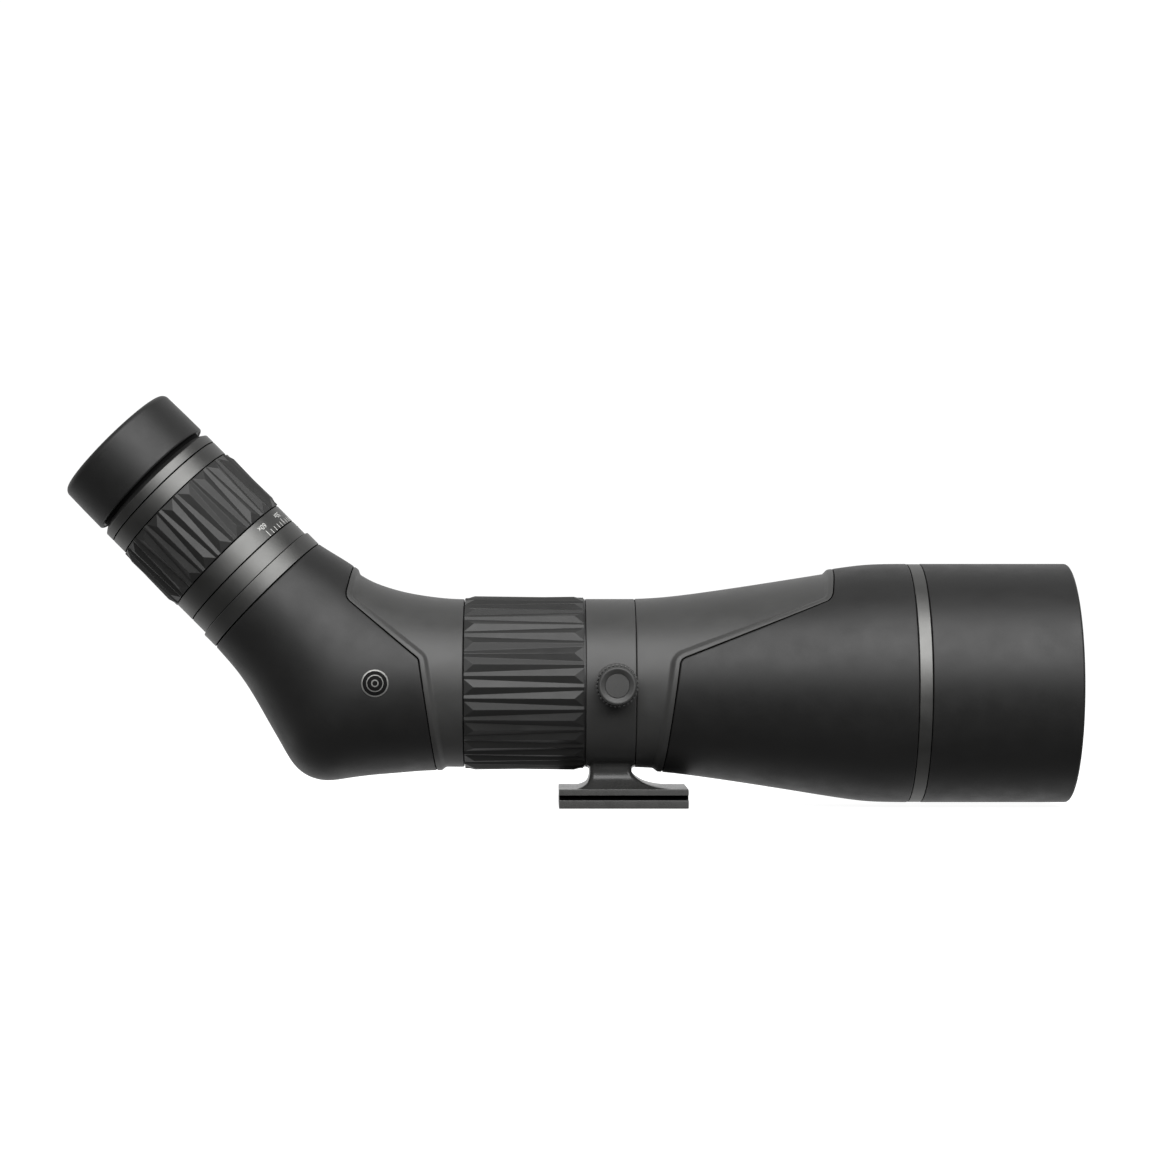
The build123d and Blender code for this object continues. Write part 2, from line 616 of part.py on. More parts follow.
# ================================================================ eyepiece, fixed pieces
TOP_RING_S = 109.1
NECK_S = 113.8
NECK_END = 131.5
HEAD_BORE_END = 120.0


with BuildPart() as eyepiece_flange:
    with BuildSketch(EYEPIECE):
        band(FLANGE_S, 56.6, EYE_TUBE_R, 29.2)
        band(44.0, FLANGE_S, EYE_TUBE_R, FLANGE_SPIGOT_R)
        band(46.0, 48.0, FLANGE_SPIGOT_R - 1.2, FLANGE_SPIGOT_R + 1, mode=Mode.SUBTRACT)
    revolve(axis=EYEPIECE_AXIS)

with BuildPart() as eyepiece_oring:
    with BuildSketch(EYEPIECE):
        with Locations((47.0, FLANGE_SPIGOT_R - 0.6)):
            Circle(0.58)
    revolve(axis=EYEPIECE_AXIS)

with BuildPart() as index_ring:
    with BuildSketch(EYEPIECE):
        band(56.6, 64.0, EYE_TUBE_R, EYEPIECE_R)
    revolve(axis=EYEPIECE_AXIS)

ZOOM_PIN_R = 1.2
VARIATOR_RANGE = (-4.8, 3.3)        # travel of each cell along the axis, with a little to spare
COMPENSATOR_RANGE = (-2.2, 3.2)
CELL_HALF = 4.0


def pin_window(centre, travel):
    """Ends along the axis of the space that a cell's pins sweep."""
    return (centre + travel[0] - ZOOM_PIN_R - 0.3, centre + travel[1] + ZOOM_PIN_R + 0.3)


variator_window = pin_window(VARIATOR_S, VARIATOR_RANGE)
compensator_window = pin_window(COMPENSATOR_S, COMPENSATOR_RANGE)

with BuildPart() as eyepiece_barrel:
    with BuildSketch(EYEPIECE):
        band(44.0, HEAD_BORE_END, EYE_TUBE_BORE, EYE_TUBE_R)
    revolve(axis=EYEPIECE_AXIS)
    # straight slots guide the pins of the two zoom cells
    for low, high in (variator_window, compensator_window):
        with BuildSketch(EYEPIECE):
            with Locations(((low + high) / 2, 0)):
                SlotOverall(high - low, 2 * ZOOM_PIN_R + 0.2)
        extrude(amount=30, both=True, mode=Mode.SUBTRACT)

with BuildPart() as field_lens_cell:
    with BuildSketch(EYEPIECE):
        band(50.0, 62.0, 16.0, EYE_TUBE_BORE)
        band(50.0, 52.0, 14.6, 16.0)
    revolve(axis=EYEPIECE_AXIS)

with BuildPart() as field_lens:
    with BuildSketch(EYEPIECE):
        lens_section(52.8, 60.0, 16.0, 1.0, 2.6)
    revolve(axis=EYEPIECE_AXIS)

with BuildPart() as eyepiece_head:
    with BuildSketch(EYEPIECE):
        with BuildLine():
            Polyline((TOP_RING_S, EYE_TUBE_R), (HEAD_BORE_END, EYE_TUBE_R), (HEAD_BORE_END, 15.6),
                     (HEAD_BORE_END + 1.2, 15.6), (HEAD_BORE_END + 1.2, EYE_SEAT_R),
                     (NECK_END, EYE_SEAT_R), (NECK_END, NECK_R), (NECK_S, NECK_R),
                     (NECK_S, 27.2), (NECK_S - 0.9, EYEPIECE_R), (TOP_RING_S, EYEPIECE_R), close=True)
        make_face()
    revolve(axis=EYEPIECE_AXIS)
    # two blind holes keep the eyecup's key ring from turning
    with BuildSketch(across_eyepiece(NECK_END)):
        with PolarLocations(KEY_CIRCLE, 2, start_angle=90):
            Circle(KEY_R + RUN)
    extrude(amount=-11.4, mode=Mode.SUBTRACT)

with BuildPart() as eye_doublet:
    with BuildSketch(EYEPIECE):
        lens_section(121.6, 125.0, EYE_SEAT_R, -0.4 + 1.2, -0.8)
    revolve(axis=EYEPIECE_AXIS)

with BuildPart() as eye_lens_spacer:
    with BuildSketch(EYEPIECE):
        band(125.85, 126.2, 15.9, EYE_SEAT_R)
    revolve(axis=EYEPIECE_AXIS)

with BuildPart() as eye_lens:
    with BuildSketch(EYEPIECE):
        lens_section(125.6, 129.7, EYE_SEAT_R, 0.8, 1.6)
    revolve(axis=EYEPIECE_AXIS)

with BuildPart() as eye_lens_retainer:
    with BuildSketch(EYEPIECE):
        with BuildLine():
            Polyline((128.6, EYE_SEAT_R), (NECK_END, EYE_SEAT_R), (NECK_END, 16.6), (129.4, 15.4),
                     (128.6, 15.4), close=True)
        make_face()
    revolve(axis=EYEPIECE_AXIS)

# ================================================================ zoom ring
CAM_R = 24.4
WAIST_R = 26.4
ZOOM_START = 64.2
GRIP_START = 72.9
GRIP_END = 102.1
ZOOM_END = 108.9
ZOOM_RIBS = 40
ZOOM_RIB_TOP = 29.3
ZOOM_PHASE = -2.0           # degrees from the -Y side to the first rib that is wide at the eye end

with BuildPart() as zoom_sleeve:
    with BuildSketch(EYEPIECE):
        band(ZOOM_START, ZOOM_END, CAM_R, WAIST_R)
        band(ZOOM_START, GRIP_START, WAIST_R, EYEPIECE_R)
        band(GRIP_END, ZOOM_END, WAIST_R, EYEPIECE_R)
    revolve(axis=EYEPIECE_AXIS)

with BuildPart() as zoom_cam:
    with BuildSketch(EYEPIECE):
        band(ZOOM_START + 1, ZOOM_END - 1, EYE_TUBE_R + RUN, CAM_R)
        for low, high in (variator_window, compensator_window):
            band(low, high, EYE_TUBE_R - 1, CAM_R - 0.6, mode=Mode.SUBTRACT)
    revolve(axis=EYEPIECE_AXIS)


def upright_eyepiece(s):
    """Plane square to the eyepiece axis; its y direction points from the axis to the top."""
    origin = (CROSSING_X - COS * s, 0, AXIS_HEIGHT + SIN * s)
    return Plane(origin=origin, x_dir=(0, 1, 0), z_dir=(-COS, 0, SIN))


low_rib = rib(upright_eyepiece, GRIP_START, GRIP_END, 3.8, EYEPIECE_R, 6.2, 2.0, ZOOM_RIB_TOP, 28.9)
high_rib = rib(upright_eyepiece, GRIP_END, GRIP_START, -3.8, EYEPIECE_R, 6.2, 2.0, ZOOM_RIB_TOP, 28.9)
zoom_pitch = 360 / ZOOM_RIBS

with BuildPart() as zoom_grip:
    with BuildSketch(EYEPIECE):
        band(GRIP_START, GRIP_END, WAIST_R, EYEPIECE_R)
    revolve(axis=EYEPIECE_AXIS)
    for k in range(0, ZOOM_RIBS, 2):
        add(high_rib.rotate(EYEPIECE_AXIS, ZOOM_PHASE + k * zoom_pitch))
        add(low_rib.rotate(EYEPIECE_AXIS, ZOOM_PHASE + (k + 1) * zoom_pitch))

# ---------------------------------------------------------------- moving zoom cells
CELL_R = EYE_TUBE_BORE - RUN
VARIATOR_BORE = 15.0
COMPENSATOR_BORE = 16.0


def cell_section(centre, bore):
    """Half section of a lens cell with a shoulder at its lower end."""
    band(centre - CELL_HALF, centre + CELL_HALF, bore, CELL_R)
    band(centre - CELL_HALF, centre - CELL_HALF + 1.2, bore - 1.4, bore)


with BuildPart() as variator_cell:
    with BuildSketch(EYEPIECE):
        cell_section(VARIATOR_S, VARIATOR_BORE)
    revolve(axis=EYEPIECE_AXIS)
    with BuildSketch(EYEPIECE):
        with Locations((VARIATOR_S, 0)):
            Circle(ZOOM_PIN_R)
    extrude(amount=30, both=True, mode=Mode.SUBTRACT)

with BuildPart() as compensator_cell:
    with BuildSketch(EYEPIECE):
        cell_section(COMPENSATOR_S, COMPENSATOR_BORE)
    revolve(axis=EYEPIECE_AXIS)
    with BuildSketch(EYEPIECE):
        with Locations((COMPENSATOR_S, 0)):
            Circle(ZOOM_PIN_R)
    extrude(amount=30, both=True, mode=Mode.SUBTRACT)

with BuildPart() as variator_lens:
    with BuildSketch(EYEPIECE):
        lens_section(VARIATOR_S - 1.0, VARIATOR_S + 0.8, VARIATOR_BORE, -1.8, -1.3)
    revolve(axis=EYEPIECE_AXIS)

with BuildPart() as compensator_lens:
    with BuildSketch(EYEPIECE):
        lens_section(COMPENSATOR_S - 3.4, COMPENSATOR_S + 3.4, COMPENSATOR_BORE, 1.6, 1.6)
    revolve(axis=EYEPIECE_AXIS)


# two drive pins on each cell, on the -Y and +Y sides
PIN_TIP = CAM_R - 1.0

with BuildPart() as variator_pins:
    for side in (-1, 1):
        with BuildSketch(EYEPIECE.offset(side * (VARIATOR_BORE + 0.1))):
            with Locations((VARIATOR_S, 0)):
                Circle(ZOOM_PIN_R)
        extrude(amount=side * (PIN_TIP - VARIATOR_BORE - 0.1))

with BuildPart() as compensator_pins:
    for side in (-1, 1):
        with BuildSketch(EYEPIECE.offset(side * (COMPENSATOR_BORE + 0.1))):
            with Locations((COMPENSATOR_S, 0)):
                Circle(ZOOM_PIN_R)
        extrude(amount=side * (PIN_TIP - COMPENSATOR_BORE - 0.1))

# ================================================================ eyecup
CUP_START = 116.0
CUP_END = 137.2
CUP_BORE = 19.6
SLEEVE_R = 26.9

with BuildPart() as eyecup_key_ring:
    with BuildSketch(EYEPIECE):
        band(NECK_END + 0.4, NECK_END + 2.4, CUP_BORE, NECK_R - 0.2)
    revolve(axis=EYEPIECE_AXIS)
    with BuildSketch(across_eyepiece(NECK_END + 0.4)):
        with PolarLocations(KEY_CIRCLE, 2, start_angle=90):
            Circle(KEY_R)
    extrude(amount=-11.0)

with BuildPart() as eyecup_sleeve:
    with BuildSketch(EYEPIECE):
        band(CUP_START + 0.3, CUP_END - 1.6, NECK_R + RUN, SLEEVE_R)
        band(NECK_END + 2.5, CUP_END - 1.6, CUP_BORE, SLEEVE_R)
    revolve(axis=EYEPIECE_AXIS)

with BuildPart() as eyecup:
    with BuildSketch(EYEPIECE):
        with BuildLine():
            Line((CUP_START + 0.8, CUP_R), (CUP_END - 2.5, CUP_R - 0.35))
            ThreePointArc((CUP_END - 2.5, CUP_R - 0.35), (CUP_END - 0.75, CUP_R - 1.1),
                          (CUP_END, CUP_R - 2.85))
            Line((CUP_END, CUP_R - 2.85), (CUP_END, CUP_BORE + 0.8))
            ThreePointArc((CUP_END, CUP_BORE + 0.8), (CUP_END - 0.25, CUP_BORE + 0.25),
                          (CUP_END - 0.8, CUP_BORE))
            Polyline((CUP_END - 0.8, CUP_BORE), (CUP_END - 1.6, CUP_BORE), (CUP_END - 1.6, SLEEVE_R),
                     (CUP_START, SLEEVE_R), (CUP_START, CUP_R - 0.8))
            ThreePointArc((CUP_START, CUP_R - 0.8), (CUP_START + 0.23, CUP_R - 0.23),
                          (CUP_START + 0.8, CUP_R))
        make_face()
    revolve(axis=EYEPIECE_AXIS)

# ================================================================ write every piece
PIECES = dict(
    tripod_collar=tripod_collar, thread_insert=thread_insert, collar_liner=collar_liner,
    lock_pad=lock_pad, lock_screw=lock_screw, lock_knob=lock_knob, lock_knob_cap=lock_knob_cap,
    center_tube=center_tube, objective_barrel=objective_barrel, barrel_oring=barrel_oring,
    barrel_baffle=barrel_baffle, front_armor=front_armor, trim_ring=trim_ring,
    objective_cell=objective_cell, objective_flint=objective_flint,
    objective_spacer=objective_spacer, objective_crown=objective_crown,
    objective_retainer=objective_retainer, sunshade_tube=sunshade_tube,
    sunshade_grip=sunshade_grip, sunshade_glide=sunshade_glide, focus_ring=focus_ring,
    focus_grip=focus_grip, focus_cell=focus_cell, focus_pins=focus_pins, focus_lens=focus_lens,
    focus_retainer=focus_retainer, prism_housing=prism_housing, rear_armor=rear_armor,
    side_badges=side_badges, roof_prism=roof_prism, prism_bracket=prism_bracket,
    prism_clamp=prism_clamp, prism_screws=prism_screws, eyepiece_flange=eyepiece_flange,
    eyepiece_oring=eyepiece_oring, index_ring=index_ring, eyepiece_barrel=eyepiece_barrel,
    field_lens_cell=field_lens_cell, field_lens=field_lens, eyepiece_head=eyepiece_head,
    eye_doublet=eye_doublet, eye_lens_spacer=eye_lens_spacer, eye_lens=eye_lens,
    eye_lens_retainer=eye_lens_retainer, zoom_sleeve=zoom_sleeve, zoom_grip=zoom_grip,
    zoom_cam=zoom_cam, variator_cell=variator_cell, variator_lens=variator_lens,
    variator_pins=variator_pins, compensator_cell=compensator_cell,
    compensator_lens=compensator_lens, compensator_pins=compensator_pins,
    eyecup_key_ring=eyecup_key_ring, eyecup_sleeve=eyecup_sleeve, eyecup=eyecup)

for name, piece in PIECES.items():
    piece.part.label = name
    export_step(piece.part, f"parts/{name}.step")
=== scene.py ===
import json
import math

import bpy
import numpy as np
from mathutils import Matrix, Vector


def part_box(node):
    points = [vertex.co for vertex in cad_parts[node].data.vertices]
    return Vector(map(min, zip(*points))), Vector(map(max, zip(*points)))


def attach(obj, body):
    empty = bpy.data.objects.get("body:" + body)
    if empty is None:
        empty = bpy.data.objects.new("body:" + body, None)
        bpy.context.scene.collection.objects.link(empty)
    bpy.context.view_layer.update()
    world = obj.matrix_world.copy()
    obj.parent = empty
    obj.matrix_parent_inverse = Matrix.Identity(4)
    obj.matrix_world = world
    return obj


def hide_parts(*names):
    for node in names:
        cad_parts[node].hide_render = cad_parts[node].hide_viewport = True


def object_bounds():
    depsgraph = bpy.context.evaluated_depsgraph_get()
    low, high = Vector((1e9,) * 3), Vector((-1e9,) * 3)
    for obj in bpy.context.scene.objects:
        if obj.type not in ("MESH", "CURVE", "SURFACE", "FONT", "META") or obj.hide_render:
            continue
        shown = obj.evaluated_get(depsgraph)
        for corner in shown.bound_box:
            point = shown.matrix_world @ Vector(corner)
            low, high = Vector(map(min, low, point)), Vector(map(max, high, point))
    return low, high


# Angled spotting scope. Working unit: millimetres in the CAD frame, turned into metres when a mesh is
# made. +X is the optical axis towards the objective, +Z is up, and the photographed side faces -Y.
MM = 0.001
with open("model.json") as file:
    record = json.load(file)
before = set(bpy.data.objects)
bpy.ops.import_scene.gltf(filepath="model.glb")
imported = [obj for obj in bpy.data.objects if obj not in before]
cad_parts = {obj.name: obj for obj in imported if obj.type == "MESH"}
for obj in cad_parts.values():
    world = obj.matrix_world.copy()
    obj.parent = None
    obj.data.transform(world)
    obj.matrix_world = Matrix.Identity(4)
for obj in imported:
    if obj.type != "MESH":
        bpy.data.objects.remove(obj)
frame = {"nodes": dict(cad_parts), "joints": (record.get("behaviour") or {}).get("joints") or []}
cad_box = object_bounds()


# ------------------------------------------------------------------ sizes read from the frame
def joint(name):
    """The record's joint of that name."""
    return next(j for j in frame["joints"] if j["name"] == name)


def span(node):
    """Lowest and highest x of a CAD node, in mm."""
    low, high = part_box(node)
    return low.x / MM, high.x / MM


AXIS_Z = joint("focus_turn")["pos_m"][2] / MM           # height of the optical axis
EYE_DIR = np.array(joint("zoom_turn")["axis"])          # along the eyepiece, towards the eye
EYE_POINT = np.array(joint("zoom_turn")["pos_m"]) / MM
CROSSING_X = EYE_POINT[0] + (EYE_POINT[2] - AXIS_Z) * EYE_DIR[0] / -EYE_DIR[2]
BARREL_REAR = span("objective_barrel")[0]
TRIM_REAR, TRIM_FRONT = span("trim_ring")
HOOD_REAR, HOOD_FRONT = span("sunshade_grip")
RING_REAR, RING_FRONT = span("focus_ring")
HOOD_R = (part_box("sunshade_grip")[1].y) / MM
KNOB_X = sum(span("lock_knob")) / 2
KNOB_TOP = -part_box("lock_knob")[0].y / MM

OUT = np.array((0.0, -1.0, 0.0))                        # towards the photographed side
OPTICAL = (np.array((0.0, 0.0, AXIS_Z)), np.array((1.0, 0.0, 0.0)), OUT, np.array((0.0, 0.0, 1.0)))
EYE_UP = np.array((EYE_DIR[2], 0.0, -EYE_DIR[0]))
EYEPIECE = (np.array((CROSSING_X, 0.0, AXIS_Z)), EYE_DIR, OUT, EYE_UP)
LOCK = (np.array((KNOB_X, 0.0, AXIS_Z)), OUT, np.array((1.0, 0.0, 0.0)), np.array((0.0, 0.0, 1.0)))


# ------------------------------------------------------------------ mesh tools
def place(axis, along, radius, angle):
    """Point at a distance along an axis, at a radius and an angle (0 faces -Y, 90 degrees is up)."""
    origin, direction, side, up = axis
    along, radius, angle = (np.asarray(v, float)[..., None] for v in (along, radius, angle))
    return origin + along * direction + radius * (np.cos(angle) * side + np.sin(angle) * up)


def make_piece(name, points, faces, materials, body, face_materials=None, sharp=35.0,
               weld=0.0, bevel=0.0, bore=0.0):
    """Mesh object from points in mm, its faces turned outwards, smooth except at sharp edges."""
    points = np.asarray(points, float)
    volume = 0.0
    for face in faces:
        a = points[face[0]]
        for b, c in zip(face[1:-1], face[2:]):
            volume += a @ np.cross(points[b], points[c])
    if volume < 0:
        faces = [tuple(face)[::-1] for face in faces]
    mesh = bpy.data.meshes.new(name)
    mesh.from_pydata((points * MM).tolist(), [], faces)
    for material in materials:
        mesh.materials.append(material)
    if face_materials is not None:
        mesh.polygons.foreach_set("material_index", face_materials)
    mesh.validate()
    piece = bpy.data.objects.new(name, mesh)
    bpy.context.scene.collection.objects.link(piece)
    if weld:
        modifier = piece.modifiers.new("weld", "WELD")
        modifier.merge_threshold = weld * MM
    if bore:
        drill = bore_tool(bore)
        modifier = piece.modifiers.new("bore", "BOOLEAN")
        modifier.object = drill
        modifier.solver = "EXACT"
    if bevel:
        modifier = piece.modifiers.new("bevel", "BEVEL")
        modifier.width = bevel * MM
        modifier.segments = 2
        modifier.limit_method = "ANGLE"
        modifier.angle_limit = math.radians(9.0)
    if weld or bore or bevel:
        bpy.context.view_layer.update()
        graph = bpy.context.evaluated_depsgraph_get()
        final = bpy.data.meshes.new_from_object(piece.evaluated_get(graph))
        piece.modifiers.clear()
        piece.data = final
        mesh = final
    if bore:
        bpy.data.objects.remove(drill)
    mesh.shade_smooth()
    mesh.set_sharp_from_angle(angle=math.radians(sharp))
    weighted = piece.modifiers.new("weighted", "WEIGHTED_NORMAL")
    weighted.keep_sharp = True
    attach(piece, body)
    return piece


def bore_tool(radius):
    """Round cutter through the foot plate for the thread insert."""
    columns = 96
    turn = np.arange(columns) * 2 * math.pi / columns
    points = [(radius * math.cos(t), radius * math.sin(t), z) for z in (-1.0, 7.0) for t in turn]
    faces = grid_faces(2, columns) + [tuple(range(columns))[::-1],
                                      tuple(range(columns, 2 * columns))]
    mesh = bpy.data.meshes.new("bore_tool")
    mesh.from_pydata((np.array(points) * MM).tolist(), [], faces)
    tool = bpy.data.objects.new("bore_tool", mesh)
    bpy.context.scene.collection.objects.link(tool)
    return tool


def grid_faces(rows, columns, closed_rows=False):
    """Quads of a grid whose columns wrap round; closed_rows also joins the last row to the first."""
    faces = []
    for r in range(rows if closed_rows else rows - 1):
        below = r * columns
        above = (r + 1) % rows * columns
        for c in range(columns):
            d = (c + 1) % columns
            faces.append((below + c, below + d, above + d, above + c))
    return faces


def rounded(corners, steps=4):
    """Closed outline through (along, radius, rounding) corners, each rounded by its radius."""
    points = np.array([c[:2] for c in corners], float)
    outline = []
    for k, corner in enumerate(corners):
        before = points[k - 1] - points[k]
        after = points[(k + 1) % len(points)] - points[k]
        before /= np.linalg.norm(before)
        after /= np.linalg.norm(after)
        turn = math.acos(np.clip(before @ after, -1, 1))
        radius = corner[2] if len(corner) > 2 else 0
        if radius == 0:
            outline.append(points[k])
            continue
        reach = radius / math.tan(turn / 2)
        centre = points[k] + (before + after) / np.linalg.norm(before + after) * radius / math.sin(turn / 2)
        first = points[k] + before * reach - centre
        last = points[k] + after * reach - centre
        for t in np.linspace(0, 1, steps + 1):
            ray = first * (1 - t) + last * t
            outline.append(centre + ray / np.linalg.norm(ray) * radius)
    return np.array(outline)


def turned(name, axis, corners, material, body, slot, segments=160, steps=4, sharp=35.0,
           shade_below=0.0):
    """Ring turned about an axis from a closed outline of (along, radius, rounding) corners.

    Faces that lie wholly below the given radius, the walls of a joint, are painted black as the shade that
    falls there.
    """
    outline = rounded(corners, steps)
    area = np.cross(outline, np.roll(outline, -1, 0)).sum()
    if area < 0:
        outline = outline[::-1]
    angles = np.arange(segments) * 2 * math.pi / segments
    along, angle = np.meshgrid(outline[:, 0], angles, indexing="ij")
    radius = np.repeat(outline[:, 1:], segments, 1)
    points = place(axis, along, radius, angle).reshape(-1, 3)
    faces = grid_faces(len(outline), segments, closed_rows=True)
    if np.dot(np.cross(axis[2], axis[3]), axis[1]) < 0:
        faces = [f[::-1] for f in faces]
    highest = np.maximum(outline[:, 1], np.roll(outline[:, 1], -1))
    # painted shade: faces under that radius take the black material
    shaded = np.repeat(np.where(highest < shade_below + 0.01, 1, 0), segments)
    return make_piece(name, points, faces, [material, painted_shade_black], body,
                      face_materials=shaded.tolist(), sharp=sharp)


def spline(stations):
    """Natural cubic spline through (x, y) stations, as a function of x."""
    x, y = np.array(stations, float).T
    n = len(x)
    step = np.diff(x)
    slope = np.diff(y) / step
    system = np.eye(n)
    right = np.zeros(n)
    for k in range(1, n - 1):
        system[k, k - 1:k + 2] = step[k - 1], 2 * (step[k - 1] + step[k]), step[k]
        right[k] = 6 * (slope[k] - slope[k - 1])
    bend = np.linalg.solve(system, right)

    def value(at):
        at = np.asarray(at, float)
        k = np.clip(np.searchsorted(x, at) - 1, 0, n - 2)
        a, b, h = x[k + 1] - at, at - x[k], step[k]
        return (bend[k] * a**3 + bend[k + 1] * b**3) / (6 * h) + \
            (y[k] / h - bend[k] * h / 6) * a + (y[k + 1] / h - bend[k + 1] * h / 6) * b

    return value


def softened(corners, steps=12):
    """Points along an open outline of (x, height, rounding) corners, inner corners rounded."""
    line = []
    for k in range(1, len(corners) - 1):
        ends = [(*corners[k - 1][:2], 0), corners[k], (*corners[k + 1][:2], 0)]
        line += list(rounded(ends, steps)[1:-1])
    return np.array([corners[0][:2], *line, corners[-1][:2]])


def material(name, colour, rough, metallic=0.0, specular=0.5, spread=0.12, patch=9.0, grain=0.35,
             relief=0.012, rough_spread=0.08, **more):
    """Procedural finish: soft tone and roughness patches (patch mm) and a fine grain (grain mm)."""
    mat = bpy.data.materials.new(name)
    mat.use_nodes = True
    nodes = mat.node_tree.nodes
    link = mat.node_tree.links.new
    shader = nodes["Principled BSDF"]
    shader.inputs["Metallic"].default_value = metallic
    shader.inputs["Specular IOR Level"].default_value = specular
    for socket, value in more.items():
        shader.inputs[socket.replace("_", " ")].default_value = value
    where = nodes.new("ShaderNodeTexCoord")

    def noise(size, detail):
        node = nodes.new("ShaderNodeTexNoise")
        node.inputs["Scale"].default_value = 1 / (size * MM)
        node.inputs["Detail"].default_value = detail
        link(where.outputs["Object"], node.inputs["Vector"])
        return node.outputs["Fac"]

    broad = noise(patch, 3.0)
    fine = noise(grain, 2.0)
    tone = nodes.new("ShaderNodeValToRGB")
    tone.color_ramp.elements[0].position = 0.3
    tone.color_ramp.elements[1].position = 0.7
    for element, factor in zip(tone.color_ramp.elements, (1 - spread, 1 + spread)):
        element.color = (*(c * factor for c in colour), 1)
    mixed = nodes.new("ShaderNodeMath")
    mixed.operation = "MULTIPLY_ADD"
    mixed.inputs[1].default_value = 0.5
    half = nodes.new("ShaderNodeMath")
    half.operation = "MULTIPLY"
    half.inputs[1].default_value = 0.5
    link(fine, half.inputs[0])
    link(broad, mixed.inputs[0])
    link(half.outputs[0], mixed.inputs[2])
    link(mixed.outputs[0], tone.inputs["Fac"])
    link(tone.outputs["Color"], shader.inputs["Base Color"])
    gloss = nodes.new("ShaderNodeMapRange")
    gloss.inputs["From Min"].default_value = 0.3
    gloss.inputs["From Max"].default_value = 0.7
    gloss.inputs["To Min"].default_value = rough - rough_spread
    gloss.inputs["To Max"].default_value = rough + rough_spread
    link(mixed.outputs[0], gloss.inputs["Value"])
    link(gloss.outputs["Result"], shader.inputs["Roughness"])
    bump = nodes.new("ShaderNodeBump")
    bump.inputs["Strength"].default_value = 0.5
    bump.inputs["Distance"].default_value = relief * MM
    link(fine, bump.inputs["Height"])
    link(bump.outputs["Normal"], shader.inputs["Normal"])
    return mat


# ------------------------------------------------------------------ materials
casting_paint = material("casting_paint", (0.046, 0.046, 0.045), 0.48, specular=0.5, grain=0.30,
                         relief=0.020)
armour_rubber = material("armour_rubber", (0.0118, 0.0117, 0.0115), 0.50, specular=0.45, grain=0.45,
                         relief=0.020, spread=0.10)
grip_rubber = material("grip_rubber", (0.020, 0.020, 0.0195), 0.46, specular=0.45, grain=0.40,
                       relief=0.016)
eyecup_rubber = material("eyecup_rubber", (0.012, 0.012, 0.0118), 0.50, specular=0.45, grain=0.5,
                         relief=0.010)
ring_metal = material("ring_metal", (0.125, 0.125, 0.122), 0.46, metallic=1.0, grain=0.22,
                      relief=0.008, spread=0.06)
trim_metal = material("trim_metal", (0.152, 0.152, 0.148), 0.49, metallic=1.0, grain=0.22, relief=0.008,
                      spread=0.06)
# foot_metal is the same cast metal as stem_metal, painted lighter as painted light for the brightness of
# the foot plate's sides and top
foot_metal = material("foot_metal", (0.066, 0.066, 0.0645), 0.28, grain=0.25, relief=0.012)
stem_metal = material("stem_metal", (0.038, 0.038, 0.037), 0.28, grain=0.25, relief=0.012)
inner_metal = material("inner_metal", (0.006, 0.006, 0.006), 0.62, specular=0.3, grain=0.3)
steel = material("steel", (0.42, 0.41, 0.40), 0.28, metallic=1.0, grain=0.2, relief=0.006, spread=0.05)
polymer = material("polymer", (0.014, 0.014, 0.014), 0.42, grain=0.5, relief=0.008)
seal_rubber = material("seal_rubber", (0.006, 0.006, 0.006), 0.55, grain=0.4)
# black painted on the walls and floors of joints, grooves and knurl gaps, standing in for the shade that
# falls there
painted_shade_black = material("painted_shade_black", (0.0015, 0.0015, 0.0015), 0.8, specular=0.1, grain=0.4)
scale_white = material("scale_white", (0.60, 0.60, 0.58), 0.45, grain=0.2, relief=0.006, spread=0.04)
badge_dark = material("badge_dark", (0.003, 0.003, 0.003), 0.5, specular=0.12, grain=0.3,
                      relief=0.006)
badge_light = material("badge_light", (0.30, 0.30, 0.29), 0.34, metallic=0.8, grain=0.25, relief=0.008)
glass = material("glass", (0.80, 0.90, 0.86), 0.03, specular=0.5, grain=0.6, relief=0.0005,
                 rough_spread=0.01, spread=0.03, Transmission_Weight=1.0, IOR=1.52, Coat_Weight=0.6,
                 Coat_Roughness=0.03, Coat_Tint=(0.55, 0.80, 0.62, 1.0))

SLOTS = dict(casting_paint=casting_paint, armour_rubber=armour_rubber, grip_rubber=grip_rubber,
             eyecup_rubber=eyecup_rubber, ring_metal=ring_metal, trim_metal=trim_metal,
             foot_metal=foot_metal, inner_metal=inner_metal, steel=steel, polymer=polymer,
             seal_rubber=seal_rubber, badge_metal=badge_light, glass=glass)


def finish_nodes():
    """Give every CAD node the procedural material of its slot; the focus ring's is blacked."""
    for name, node in frame["nodes"].items():
        for holder in node.material_slots:
            blacked = name == "focus_ring"
            holder.material = polymer if blacked else SLOTS[holder.material.name.split(".")[0]]


# ------------------------------------------------------------------ two-skin shells with a joint line
# A shell is drawn on a surface(u, v, rise): u runs along the body, v goes round it, and rise is the
# height in mm above the grey casting. The armour lies at rise = thickness(u).
SHELL_COLUMNS = 520
JOINT_WIDTH = 0.36
WALL = 2.2
SUNK = 0.04                 # how far the casting's skin lies below its surface under the armour
MOUTH_ROUND = 0.30          # rounding of the casting's open mouth, and the middle of its curve
MOUTH_MIDDLE = 0.08
# the casting's lip beside the joint: (distance from the joint, share of the armour's thickness)
LIP = ((3.9, 0.0), (3.45, 0.08), (2.9, 0.34), (2.35, 0.68), (1.85, 0.93), (1.4, 1.0), (0.3, 1.0),
       (0.1, 0.95), (0.0, 0.84))
# the armour's rolled edge: (distance from its edge, depth below its face in mm)
ROLL = ((0.0, 0.55), (0.04, 0.32), (0.16, 0.13), (0.36, 0.03), (0.65, 0.0))
